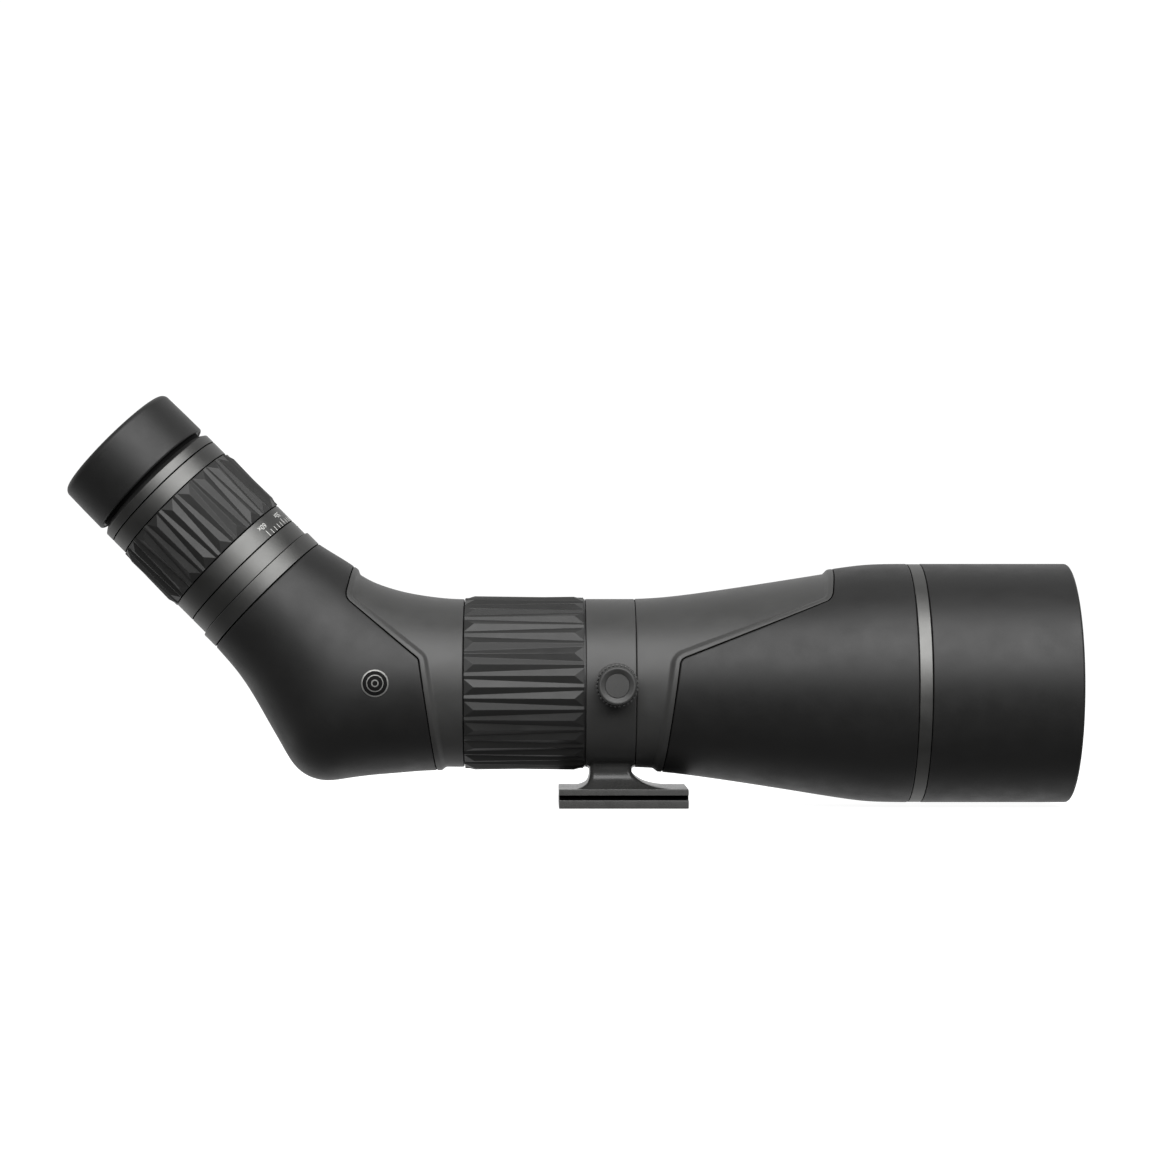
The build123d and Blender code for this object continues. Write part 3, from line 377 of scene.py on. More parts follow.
# the armour's far end, in the same way
FAR_ROUND = ((0.45, 0.0), (0.14, 0.10), (0.0, 0.40))
SKIN_ROWS = 46              # rows of the casting's main skin, its sunk skin and its inside
SUNK_ROWS = 6
INSIDE_ROWS = 8
ARMOUR_ROWS = 60


def joint_line(surface, edge, low, high, thickness, start):
    """(u, v) evenly spaced round the line where the armour face meets a side-view outline."""
    v = start + np.linspace(0, 2 * math.pi, 6001)
    below = np.full(len(v), float(low))
    above = np.full(len(v), float(high))
    forward = surface(high, 0.0, 0.0)[0] > surface(low, 0.0, 0.0)[0]
    for _ in range(36):
        u = (below + above) / 2
        point = surface(u, v, thickness(u))
        limit = np.interp(point[:, 2] - AXIS_Z, edge[:, 1], edge[:, 0])
        past = (point[:, 0] > limit) == forward
        above = np.where(past, u, above)
        below = np.where(past, below, u)
    length = np.concatenate(([0], np.cumsum(np.linalg.norm(np.diff(point, axis=0), axis=1))))
    at = np.linspace(0, length[-1], SHELL_COLUMNS + 1)[:-1]
    return np.interp(at, length, u), np.interp(at, length, v)


def shifted(surface, line, distance, thickness):
    """The line moved sideways in the armour face by a distance in mm, towards larger u."""
    u, v = line
    rise = thickness(u)
    ahead = surface(*(np.roll(np.stack((u, v)), -1, 1)), rise)
    behind = surface(*(np.roll(np.stack((u, v)), 1, 1)), rise)
    along = ahead - behind
    step = 1e-4
    by_u = (surface(u + step, v, rise) - surface(u - step, v, rise)) / (2 * step)
    by_v = (surface(u, v + step, rise) - surface(u, v - step, rise)) / (2 * step)
    across = np.cross(np.cross(by_u, by_v), along)
    across /= np.linalg.norm(across, axis=1)[:, None]
    dots = [(a * b).sum(1) for a, b in
            ((by_u, by_u), (by_u, by_v), (by_v, by_v), (across, by_u), (across, by_v))]
    uu, uv, vv, u_part, v_part = dots
    scale = uu * vv - uv**2
    du = (u_part * vv - v_part * uv) / scale
    dv = (v_part * uu - u_part * uv) / scale
    sign = np.sign(du.mean())
    return u + distance * sign * du, v + distance * sign * dv


def between(first, last, count):
    """Rows between two (u, v, rise) rows, both of them left out."""
    return [tuple(a * (1 - t) + b * t for a, b in zip(first, last))
            for t in np.linspace(0, 1, count + 2)[1:-1]]


def shell(name, surface, rows, shade_rows, materials, body="scope_body"):
    """Closed mesh through (u, v, rise) rows; faces in the listed rows take the second material, painted
    black as shade.
    """
    points = np.concatenate([surface(*np.broadcast_arrays(*row)) for row in rows])
    columns = len(points) // len(rows)
    faces = grid_faces(len(rows), columns, closed_rows=True)
    shaded = [1 if f // columns in shade_rows else 0 for f in range(len(faces))]
    return make_piece(name, points, faces, materials, body, face_materials=shaded, sharp=50.0)


def casting_shell(name, surface, line, thickness, mouth, end, mouth_depth):
    """Grey casting: open mouth, main skin, raised lip, and a sunk skin under the armour to its end, painted
    black as shade in the joint.
    """
    inward = 1 if mouth > end else -1
    lip = []
    for distance, share in LIP:
        u, v = shifted(surface, line, inward * distance, thickness)
        lip.append((u, v, thickness(u) * share))
    first_v = lip[0][1]
    whole = np.ones(SHELL_COLUMNS)
    toward = -inward
    rim = [(whole * mouth, first_v, whole * -mouth_depth),
           (whole * mouth, first_v, whole * -MOUTH_ROUND),
           (whole * (mouth + toward * MOUTH_MIDDLE), first_v, whole * -MOUTH_MIDDLE),
           (whole * (mouth + toward * MOUTH_ROUND), first_v, whole * 0.0)]
    rows = rim + between(rim[-1], lip[0], SKIN_ROWS) + lip
    u, v = line
    sunk = (u, v, whole * -SUNK)
    last = (whole * end, v, whole * -SUNK)
    wall = len(rows) - 1
    rows += [sunk] + between(sunk, last, SUNK_ROWS) + [last]
    # the lip's wall and the sunk skin under the armour, down in the joint, are painted black as shade
    shade_rows = range(wall, len(rows) - 1)
    back = (whole * end, v, whole * -WALL)
    rows += [back] + between(back, (whole * mouth, first_v, whole * -WALL), INSIDE_ROWS)
    return shell(name, surface, rows, shade_rows, [casting_paint, painted_shade_black])


def armour_shell(name, surface, line, thickness, mouth, end, per_mm):
    """Rubber armour: a rolled edge along the joint, the main skin, and a rounded far end.

    per_mm is the change of u in a millimetre towards the far end.
    """
    outward = -1 if mouth > end else 1
    roll = []
    for distance, depth in ROLL:
        u, v = shifted(surface, line, outward * (JOINT_WIDTH + distance), thickness)
        roll.append((u, v, thickness(u) - depth))
    whole = np.ones(SHELL_COLUMNS)
    foot = (roll[0][0], roll[0][1], whole * 0.0)        # where the armour meets the casting
    v = roll[-1][1]
    far = [(whole * (end - distance * per_mm), v, whole * thickness(end) - depth)
           for distance, depth in FAR_ROUND]
    far.append((whole * end, v, whole * 0.0))
    rows = [foot] + roll + between(roll[-1], far[0], ARMOUR_ROWS) + far
    rows += between(far[-1], foot, SUNK_ROWS)
    # the armour's wall at the joint, the first row of faces, is painted black as shade
    return shell(name, surface, rows, (0,), [armour_rubber, painted_shade_black])


# ------------------------------------------------------------------ objective barrel
TRIM_GAP = 0.25             # between the armour and the trim ring
# radius of the grey casting and of the armour's face at stations along x
casting_radius = spline(((4.8, 33.9), (12.0, 34.25), (31.2, 36.35), (55.4, 39.9), (77.6, 43.4),
                         (87.6, 44.95), (97.0, 46.1), (105.0, 46.5), (114.1, 46.6)))
armour_radius = spline(((4.8, 34.85), (16.0, 35.9), (31.2, 37.7), (47.3, 40.3), (63.5, 42.9),
                        (79.6, 45.3), (95.7, 47.3), (103.8, 47.85), (114.1, 48.0)))
# the armour's edge from the side: (x, height above the axis, rounding)
BARREL_OUTLINE = ((13.9, -50.0), (15.1, -38.5), (17.0, -25.0), (18.3, -15.5), (21.8, 10.4, 3.5),
                  (81.7, 34.1, 5.0), (85.4, 52.0))


def barrel_surface(x, angle, rise):
    """Point of the barrel at x, round the optical axis, at a height above the casting."""
    return place(OPTICAL, x, casting_radius(x) + rise, angle)


def barrel_thickness(x):
    return armour_radius(x) - casting_radius(x)


def outline_of(corners):
    """Side-view outline with rounded corners, sorted by height for interpolation."""
    line = softened([c if len(c) > 2 else (*c, 0.0) for c in corners])
    return line[np.argsort(line[:, 1], kind="stable")]


def make_barrel():
    armour_end = TRIM_REAR - TRIM_GAP
    line = joint_line(barrel_surface, outline_of(BARREL_OUTLINE), low=BARREL_REAR + 3,
                      high=armour_end, thickness=barrel_thickness, start=-math.pi / 2)
    casting = casting_shell("barrel_casting", barrel_surface, line, barrel_thickness,
                            mouth=BARREL_REAR, end=TRIM_FRONT, mouth_depth=3.6)
    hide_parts("objective_barrel")
    armour = armour_shell("barrel_armour", barrel_surface, line, barrel_thickness,
                          mouth=BARREL_REAR, end=armour_end, per_mm=1.0)
    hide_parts("front_armor")


# ------------------------------------------------------------------ prism housing
# Ellipses whose planes fan out from a line above the front face, from 90 degrees (front face) to
# 45 degrees (eyepiece flange).
FAN_X = span("prism_housing")[1]
FAN_Z = AXIS_Z + 114.7
SKIN = 1.4                  # thickness of the armour
FLANGE_FAN = 45.0
FRONT_FAN = 90.0
DEGREES_PER_MM = 0.45       # fan degrees in a millimetre, 127 mm from the fan's line
# distance of the upper and lower side from the fan's line, and half the width, by fan angle
fan_top = spline(((45, 84.45), (50, 83.15), (55, 82.45), (62.5, 82.60), (67.8, 82.20), (73, 81.65),
                  (80, 81.05), (90, 80.90)))
fan_bottom = spline(((45, 140.05), (50, 141.50), (55, 145.70), (59, 151.10), (62.5, 156.80),
                     (65.5, 161.80), (67.8, 163.20), (70.3, 162.10), (73, 158.60), (76, 155.10),
                     (80, 151.80), (85, 149.10), (90, 148.50)))
fan_half = spline(((45, 27.80), (50, 29.30), (55, 30.90), (62.5, 33.00), (67.8, 33.95), (73, 34.25),
                   (80, 34.00), (90, 33.80)))
HOUSING_OUTLINE = ((-105.2, 62.0), (-110.3, 34.8, 4.5), (-80.9, 10.5, 3.0), (-77.2, -15.2),
                   (-72.6, -50.0))


def housing_surface(fan, turn, rise):
    """Point of the housing: fan angle in degrees, turn round the ellipse (0 below, 90 at -Y)."""
    fan, turn, rise = np.broadcast_arrays(fan, turn, rise)
    top, bottom = fan_top(fan), fan_bottom(fan)
    reach = (top + bottom) / 2 + ((bottom - top) / 2 + rise) * np.cos(turn)
    lean = np.radians(fan)
    y = -(fan_half(fan) + rise) * np.sin(turn)
    return np.stack((FAN_X - np.cos(lean) * reach, y, FAN_Z - np.sin(lean) * reach), -1)


def housing_thickness(fan):
    return np.full(np.shape(fan), SKIN) if np.shape(fan) else SKIN


def make_housing():
    # both skins stop a little short of the eyepiece flange
    line = joint_line(housing_surface, outline_of(HOUSING_OUTLINE), low=FLANGE_FAN,
                      high=FRONT_FAN, thickness=housing_thickness, start=0.0)
    casting = casting_shell("prism_casting", housing_surface, line, housing_thickness,
                            mouth=FRONT_FAN, end=FLANGE_FAN + 0.1, mouth_depth=3.8)
    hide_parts("prism_housing")
    armour = armour_shell("prism_armour", housing_surface, line, housing_thickness,
                          mouth=FRONT_FAN, end=FLANGE_FAN + 0.12, per_mm=-DEGREES_PER_MM)
    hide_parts("rear_armor")


# ------------------------------------------------------------------ plain medallions on the housing
# steps from the middle outwards: (radius, height above the armour)
BADGE_STEPS = ((0.0, 0.02), (0.9, 0.02), (1.0, 0.14), (1.5, 0.14), (1.6, 0.02), (2.9, 0.02),
               (3.0, 0.14), (3.4, 0.14), (3.5, 0.02), (4.75, 0.02), (4.85, 0.20), (5.33, 0.20),
               (5.45, 0.08), (5.45, -1.2))
BADGE_LIGHT = (2, 6, 10, 11)   # the flat tops of the raised rings


def make_badge(name, side):
    """Round medallion that follows the housing's curve; side is -1 for -Y and 1 for +Y."""
    low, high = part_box("side_badges")
    centre_x = (low.x + high.x) / 2 / MM
    centre_z = (low.z + high.z) / 2 / MM
    columns = 120
    turn = np.arange(columns) * 2 * math.pi / columns
    points = []
    for radius, height in BADGE_STEPS[1:]:
        x = centre_x + radius * np.cos(turn)
        z = centre_z + radius * np.sin(turn)
        reach = np.hypot(FAN_X - x, FAN_Z - z)
        fan = np.degrees(np.arctan2(FAN_Z - z, FAN_X - x))
        top, bottom = fan_top(fan), fan_bottom(fan)
        cosine = (reach - (top + bottom) / 2) / ((bottom - top) / 2 + SKIN)
        y = (fan_half(fan) + SKIN) * np.sqrt(1 - cosine**2) + height
        points.append(np.stack((x, side * y, z), -1))
    count = len(points)
    points = np.concatenate(points)
    first, last = points[:columns].mean(0), points[-columns:].mean(0)
    points = np.vstack((points, first, last))
    faces = grid_faces(count, columns)
    lights = [1 if f // columns + 1 in BADGE_LIGHT else 0 for f in range(len(faces))]
    hub, back = len(points) - 2, len(points) - 1
    rim = (count - 1) * columns
    for c in range(columns):
        d = (c + 1) % columns
        faces += [(c, hub, d), (rim + d, back, rim + c)]
        lights += [0, 0]
    badge = make_piece(name, points, faces, [badge_dark, badge_light], "scope_body",
                       face_materials=lights, sharp=25.0)
    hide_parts("side_badges")


# ------------------------------------------------------------------ ribbed grips
def ribbed_grip(name, axis, start, end, count, phase, base, high, low, wide, facet, bore, mat, body):
    """Grip of tapered ribs, every other one turned end for end; phase places a rib wide at start."""
    pitch = 2 * math.pi / count
    wide_half = wide / base / 2
    narrow_half = pitch - wide_half
    points = []
    faces = []
    for k in range(count):
        middle = math.radians(phase) + k * pitch
        ends = (start, end) if k % 2 == 0 else (end, start)
        inward = math.copysign(facet, ends[1] - ends[0])
        corners = ((ends[0], base, middle - wide_half), (ends[0], base, middle + wide_half),
                   (ends[0] + inward, high, middle), (ends[1], low, middle),
                   (ends[1], base, middle - narrow_half), (ends[1], base, middle + narrow_half),
                   (ends[0], bore, middle - wide_half), (ends[0], bore, middle + wide_half),
                   (ends[1], bore, middle - narrow_half), (ends[1], bore, middle + narrow_half))
        n = len(points)
        points += [place(axis, *c) for c in corners]
        rib = ((0, 1, 2), (0, 2, 3, 4), (1, 5, 3, 2), (4, 3, 5), (0, 6, 7, 1), (4, 5, 9, 8),
               (6, 8, 9, 7))
        faces += [tuple(n + i for i in (f if k % 2 == 0 else f[::-1])) for f in rib]
    piece = make_piece(name, points, faces, [mat], body, sharp=12.0, weld=0.02,
                       bevel=0.16)
    return piece


def make_grips():
    focus = ribbed_grip("focus_ribs", OPTICAL, RING_REAR, RING_FRONT - 0.5, count=48, phase=-1.3,
                        base=33.9, high=35.0, low=34.45, wide=6.3, facet=3.9, bore=32.4,
                        mat=grip_rubber, body="focus_ring")
    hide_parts("focus_grip")
    zoom = ribbed_grip("zoom_ribs", EYEPIECE, 72.95, 102.05, count=40, phase=7.0, base=28.15,
                       high=29.3, low=28.75, wide=6.3, facet=3.8, bore=26.4, mat=grip_rubber,
                       body="zoom_ring")
    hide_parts("zoom_grip")


# ------------------------------------------------------------------ rings
TRIM_BORE = 44.7
HOOD_BORE = 46.32
HOOD_LIP_BORE = 45.5        # the sleeve's front lip, and how deep it is
HOOD_LIP = 1.6


def make_optical_rings():
    trim_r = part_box("trim_ring")[1].y / MM
    trim = turned("trim_band", OPTICAL, ((TRIM_REAR, TRIM_BORE), (TRIM_FRONT, TRIM_BORE),
                  (TRIM_FRONT, trim_r, 0.3), (TRIM_REAR, trim_r, 0.3)), trim_metal, "scope_body",
                  "trim_metal", segments=240, shade_below=trim_r - 0.3)
    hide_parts("trim_ring")
    lip = HOOD_FRONT - HOOD_LIP
    hood = turned("sunshade_shell", OPTICAL, ((HOOD_REAR, HOOD_BORE), (lip, HOOD_BORE),
                  (lip, HOOD_LIP_BORE), (HOOD_FRONT, HOOD_LIP_BORE, 0.7), (HOOD_FRONT, HOOD_R, 1.1),
                  (HOOD_REAR + 30, HOOD_R), (HOOD_REAR, HOOD_R, 0.4)), armour_rubber, "sunshade",
                  "armour_rubber", segments=240)
    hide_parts("sunshade_grip")


# Places along the eyepiece are distances from the point where its axis crosses the optical axis.
EYEPIECE_R = 28.2
FLANGE_R = 29.2
FLANGE_FOOT, FLANGE_START, FLANGE_END = 44.0, 50.15, 56.52
INDEX_START, INDEX_END = 56.5, 64.1
ZOOM_START, ZOOM_END = 64.34, 108.78
GRIP_START, GRIP_END = 72.5, 102.42
GRIP_SEAT = 1.8             # depth of the zoom grip's seat
HEAD_START, HEAD_END = 109.25, 131.5
EYE_SEAT, EYE_STOP = 120.0, 121.2
CUP_START, CUP_FLOOR, CUP_END = 116.0, 135.6, 137.2
JOINT_EDGE = 0.14           # rounding of a ring's edge at a joint
JOINT_HALF = 0.24           # half the width of a joint between two rings
RING_BORE = 22.0
NECK_R = 25.7


def band(name, start, end, radius, body, replaced, bore=RING_BORE):
    """Plain metal ring of the eyepiece between two joints."""
    first, last = start + JOINT_HALF, end - JOINT_HALF
    ring = turned(name, EYEPIECE, ((first, bore), (last, bore), (last, radius, JOINT_EDGE),
                  (first, radius, JOINT_EDGE)), ring_metal, body, "ring_metal",
                  shade_below=radius - JOINT_EDGE)
    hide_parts(replaced)


def make_eyepiece():
    metal = dict(material=ring_metal, slot="ring_metal", shade_below=EYEPIECE_R - JOINT_EDGE)
    flange = turned("flange_band", EYEPIECE, (
        (FLANGE_FOOT, RING_BORE), (FLANGE_END, RING_BORE), (FLANGE_END, FLANGE_R, 0.3),
        (FLANGE_START, FLANGE_R, 0.2), (FLANGE_START, 24.0), (FLANGE_FOOT, 24.0)),
        body="scope_body", **metal)
    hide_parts("eyepiece_flange")
    band("index_band", INDEX_START, INDEX_END, EYEPIECE_R, "scope_body", "index_ring")
    seat = EYEPIECE_R - GRIP_SEAT
    sleeve = turned("zoom_band", EYEPIECE, (
        (ZOOM_START, 24.4), (ZOOM_END, 24.4), (ZOOM_END, EYEPIECE_R, JOINT_EDGE),
        (GRIP_END, EYEPIECE_R, JOINT_EDGE), (GRIP_END, seat), (GRIP_START, seat),
        (GRIP_START, EYEPIECE_R, JOINT_EDGE), (ZOOM_START, EYEPIECE_R, JOINT_EDGE)),
        body="zoom_ring", **metal)
    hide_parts("zoom_sleeve")
    # the top ring narrows to the neck that the eyecup slides on, with the eye lens's seat inside
    head = turned("head_band", EYEPIECE, (
        (HEAD_START, RING_BORE), (EYE_SEAT, RING_BORE), (EYE_SEAT, 15.6), (EYE_STOP, 15.6),
        (EYE_STOP, 17.05), (HEAD_END, 17.05), (HEAD_END, NECK_R, 0.3), (114.6, NECK_R, 0.3),
        (113.9, 26.9, 0.4), (112.9, EYEPIECE_R, 0.5), (HEAD_START, EYEPIECE_R, JOINT_EDGE),
        (HEAD_START, 26.0)), ring_metal, "scope_body", "ring_metal", shade_below=NECK_R + 0.1)
    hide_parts("eyepiece_head")
    cup = turned("eyecup_rubber_cup", EYEPIECE, (
        (CUP_START, 26.95), (CUP_FLOOR, 26.95), (CUP_FLOOR, 19.6), (CUP_END, 19.6, 0.7),
        (CUP_END, 27.8, 2.5), (126.0, 28.05), (CUP_START, 28.15, 0.8)),
        eyecup_rubber, "eyecup", "eyecup_rubber", steps=8)
    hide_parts("eyecup")


# ------------------------------------------------------------------ zoom scale
SCALE_LOW = 64.45           # lower ends of the ticks
TICK_LONG = 2.9
TICK_SHORT = 2.1
TICK_HALF = 0.16
NUMERAL_BASE = 70.3
NUMERAL_HEIGHT = 2.3
PAINT = 0.03                # the marks stand this far above the ring, and reach as far into it
INDEX_AT = 61.6
INDEX_DOT = ((0.9, -0.2), (0.9, 0.10), (0.8, 0.17), (0.45, 0.24), (0.15, 0.26))     # (radius, up)
# each numeral with its angle from the top of the ring
NUMERALS = (("60x", 48.0), ("50x", 23.2), ("40x", -4.0), ("30x", -36.0), ("20x", -75.0))


def wrapped(points, angle):
    """Flat (across, along, up) points bent onto the zoom ring at an angle from its top."""
    across, along, up = np.asarray(points).T
    turn = math.pi / 2 - math.radians(angle) + across / EYEPIECE_R
    return place(EYEPIECE, along, EYEPIECE_R + up, turn)


def make_ticks():
    """A long tick at every numeral and four short ones between two numerals."""
    stops = [angle for _, angle in NUMERALS]
    marks = [(stops[-1], TICK_LONG)]
    for upper, lower in zip(stops, stops[1:]):
        parts = 5
        for k in range(parts):
            marks.append((upper + (lower - upper) * k / parts, TICK_LONG if k == 0 else TICK_SHORT))
    points = []
    faces = []
    for angle, length in marks:
        n = len(points)
        box = [(x, SCALE_LOW + y * length, z) for z in (-PAINT, PAINT) for y in (0, 1)
               for x in (-TICK_HALF, TICK_HALF)]
        points += list(wrapped(box, angle))
        faces += [tuple(n + i for i in f) for f in ((0, 1, 3, 2), (4, 6, 7, 5), (0, 4, 5, 1),
                                                    (2, 3, 7, 6), (0, 2, 6, 4), (1, 5, 7, 3))]
    make_piece("zoom_scale_ticks", points, faces, [scale_white], "zoom_ring")


def make_numeral(text, angle):
    """Numeral that reads upright from behind the eyepiece."""
    curve = bpy.data.curves.new("text", "FONT")
    curve.body = text
    curve.size = NUMERAL_HEIGHT * 1.35
    curve.align_x = "CENTER"
    curve.extrude = PAINT
    curve.resolution_u = 4
    flat = bpy.data.objects.new("text", curve)
    bpy.context.scene.collection.objects.link(flat)
    bpy.context.view_layer.update()
    mesh = bpy.data.meshes.new_from_object(flat.evaluated_get(bpy.context.evaluated_depsgraph_get()))
    points = np.array([v.co for v in mesh.vertices])
    points[:, 0] = -points[:, 0]
    points[:, 1] = NUMERAL_BASE - points[:, 1]
    faces = [tuple(p.vertices) for p in mesh.polygons]
    bpy.data.objects.remove(flat)
    make_piece("zoom_numeral_" + text, wrapped(points, angle), faces, [scale_white], "zoom_ring")


def make_index_mark():
    """Raised white dot on the fixed ring, at its top."""
    columns = 40
    turn = np.arange(columns) * 2 * math.pi / columns
    points = []
    for radius, up in INDEX_DOT:
        flat = np.stack((radius * np.cos(turn), INDEX_AT + radius * np.sin(turn),
                         np.full(columns, up)), -1)
        points.append(wrapped(flat, 0.0))
    points = np.concatenate(points)
    faces = grid_faces(len(INDEX_DOT), columns)
    faces += [tuple(range(columns))[::-1], tuple(range(len(points) - columns, len(points)))]
    make_piece("zoom_index_dot", points, faces, [scale_white], "scope_body", sharp=50.0)


# ------------------------------------------------------------------ lock knob
KNURLS = 30
KNURL_DEPTH = 0.85
KNOB_R = 8.4
RIM_R = 7.55                # rounded rim in front of the knurls
RIM_DEPTH = 2.0
DISC_R = 4.7                # disc sunk in the rim
DISH_DEPTH = 0.95
SCREW_HOLE_R = 2.3
BOSS_R = 8.6                # round boss of the collar, with a narrower neck under the knob
BOSS_NECK_R = 7.0
BOSS_ROOT, BOSS_TOP = 31.5, 36.4


def make_lock():
    """Knurled knob with a rounded rim, its sunk disc, and the boss it sits on."""
    low = -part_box("lock_knob")[1].y / MM
    top = KNOB_TOP
    knurl_top = top - RIM_DEPTH
    dish = top - DISH_DEPTH
    outline = [(low, SCREW_HOLE_R), (low, 7.6, 0.5), (low + 0.9, KNOB_R, 0.15), (knurl_top, KNOB_R, 0.12),
               (knurl_top, RIM_R + 0.1), (top - 0.9, RIM_R, 0.3), (top, 7.0, 0.5),
               (top - 0.1, 6.4, 0.3), (dish, DISC_R + 0.15, 0.1), (dish - 0.5, DISC_R + 0.1),
               (dish - 0.5, SCREW_HOLE_R)]
    profile = rounded(outline)
    columns = KNURLS * 10
    turn = np.arange(columns) * 2 * math.pi / columns
    tooth = np.clip(2.2 * np.cos(KNURLS * turn) + 0.5, -1, 1) * 0.5 + 0.5
    points = []
    for along, radius in profile:
        knurled = low + 0.8 < along < knurl_top + 0.01 and radius > RIM_R + 0.2
        cut = KNURL_DEPTH if knurled else 0.0
        points.append(place(LOCK, np.full(columns, along), radius - cut * (1 - tooth), turn))
    faces = grid_faces(len(profile), columns, closed_rows=True)
    rows = len(profile)
    knurl_shade = np.zeros((rows, columns), int)                # 1 for the gaps between the knurls, painted black as shade
    for r, (along, radius) in enumerate(profile):
        after = profile[(r + 1) % rows]
        if min(radius, after[1]) > RIM_R + 0.05 and max(along, after[0]) < knurl_top + 0.01:
            knurl_shade[r] = tooth < 0.5
    knob = make_piece("lock_knob_shell", np.concatenate(points), faces, [casting_paint, painted_shade_black],
                      "lock_knob", face_materials=knurl_shade.ravel().tolist(), sharp=28.0)
    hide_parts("lock_knob")
    cap = turned("lock_knob_disc", LOCK, ((dish - 1.2, 0.05), (dish - 1.2, DISC_R),
                 (dish + 0.02, DISC_R, 0.12), (dish + 0.04, 0.05)), casting_paint, "lock_knob",
                 "casting_paint", segments=96)
    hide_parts("lock_knob_cap")
    boss = turned("lock_boss", LOCK, (
        (BOSS_ROOT, 2.2), (BOSS_TOP, 2.2), (BOSS_TOP, BOSS_NECK_R, 0.5), (34.4, BOSS_NECK_R, 0.4),
        (33.5, BOSS_R, 0.6), (BOSS_ROOT, BOSS_R)), casting_paint, "tripod_collar", "casting_paint",
        segments=96)
    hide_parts("tripod_collar")


# ------------------------------------------------------------------ tripod collar and foot
PLATE_TOP = 7.7
STEM_ROOT = 6.8             # the stem starts inside the foot plate and runs free up to STEM_TOP
STEM_TOP = 14.3
# x of the stem's rear and front side, and half its width, by height
stem_rear = spline(((7.7, -18.8), (8.6, -16.2), (10.2, -14.3), (12.6, -13.55), (16.0, -13.5),
                    (20.0, -13.5)))
stem_front = spline(((7.7, 19.5), (7.95, 16.5), (8.5, 12.8), (9.3, 9.8), (10.6, 7.0), (12.6, 4.4),
                     (15.4, 3.0), (20.0, 2.8)))
stem_half = spline(((7.7, 17.4), (8.6, 15.0), (9.9, 13.2), (11.6, 12.0), (14.0, 11.5), (20.0, 11.5)))
COLLAR_R = 33.85
COLLAR_BORE = 30.65
COLLAR_OVERHANG = 0.4       # past either end of the liner
BLEND = 1.5                 # soft corner between stem and ring
STEM_ROUND = 2.2


def stem_section(z):
    """Rounded rectangle of the stem at a height: positions and outward directions."""
    rear, front, half = stem_rear(z), stem_front(z), stem_half(z)
    places = []
    outward = []
    turns = np.linspace(0, math.pi / 2, 9)
    quarters = ((front, half, 0), (rear, half, 1), (rear, -half, 2), (front, -half, 3))
    for x, y, quarter in quarters:
        centre = (x - math.copysign(STEM_ROUND, 1 if quarter in (0, 3) else -1),
                  y - math.copysign(STEM_ROUND, y))
        for t in turns + quarter * math.pi / 2:
            outward.append((math.cos(t), math.sin(t)))
            places.append((centre[0] + STEM_ROUND * math.cos(t), centre[1] + STEM_ROUND * math.sin(t)))
    places, outward = np.array(places), np.array(outward)
    return dense(places), dense(outward)


def dense(values, parts=4):
    """Closed ring of values with extra points between neighbours."""
    after = np.roll(values, -1, 0)
    return np.concatenate([[a + (b - a) * t / parts for t in range(parts)]
                           for a, b in zip(values, after)])


def ring_under(y):
    """Height of the ring's underside at y."""
    return AXIS_Z - np.sqrt(COLLAR_R**2 - y**2)


def make_stem():
    """Stem that flares out on the foot plate and blends into the ring above."""
    rows = []
    heights = PLATE_TOP + (STEM_TOP - PLATE_TOP) * np.linspace(0, 1, 22)**1.7
    for z in (STEM_ROOT, *heights):
        places, _ = stem_section(max(z, PLATE_TOP))
        rows.append(np.column_stack((places, np.full(len(places), z))))
    places, outward = stem_section(STEM_TOP)
    outward /= np.linalg.norm(outward, axis=1)[:, None]
    for t in np.linspace(0, math.pi / 2, 9):
        moved = places + outward * BLEND * (1 - math.cos(t))
        height = ring_under(moved[:, 1]) - BLEND * (1 - math.sin(t))
        height = np.maximum(height, STEM_TOP + 0.05 + 0.02 * t)
        rows.append(np.column_stack((moved, height + (0.05 if t > 1.5 else 0.0))))
    rows.append(rows[-1] + (0, 0, 1.2))                 # ends inside the ring
    columns = len(places)
    points = np.concatenate(rows)
    middle = (float(places[:, 0].mean()), 0.0)
    points = np.vstack((points, (*middle, STEM_ROOT), (*middle, AXIS_Z - COLLAR_R + 1.5)))
    faces = grid_faces(len(rows), columns)
    hub, top = len(points) - 2, len(points) - 1
    last = (len(rows) - 1) * columns
    for c in range(columns):
        d = (c + 1) % columns
        faces += [(d, c, hub), (last + c, last + d, top)]
    stem = make_piece("collar_stem", points, faces, [stem_metal], "tripod_collar",
                      sharp=50.0)
    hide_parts("tripod_collar")


FOOT_HALF_WIDTH = 19.0
GROOVE_DEPTH = 3.4
GROOVE_LOW, GROOVE_HIGH = 3.35, 5.2


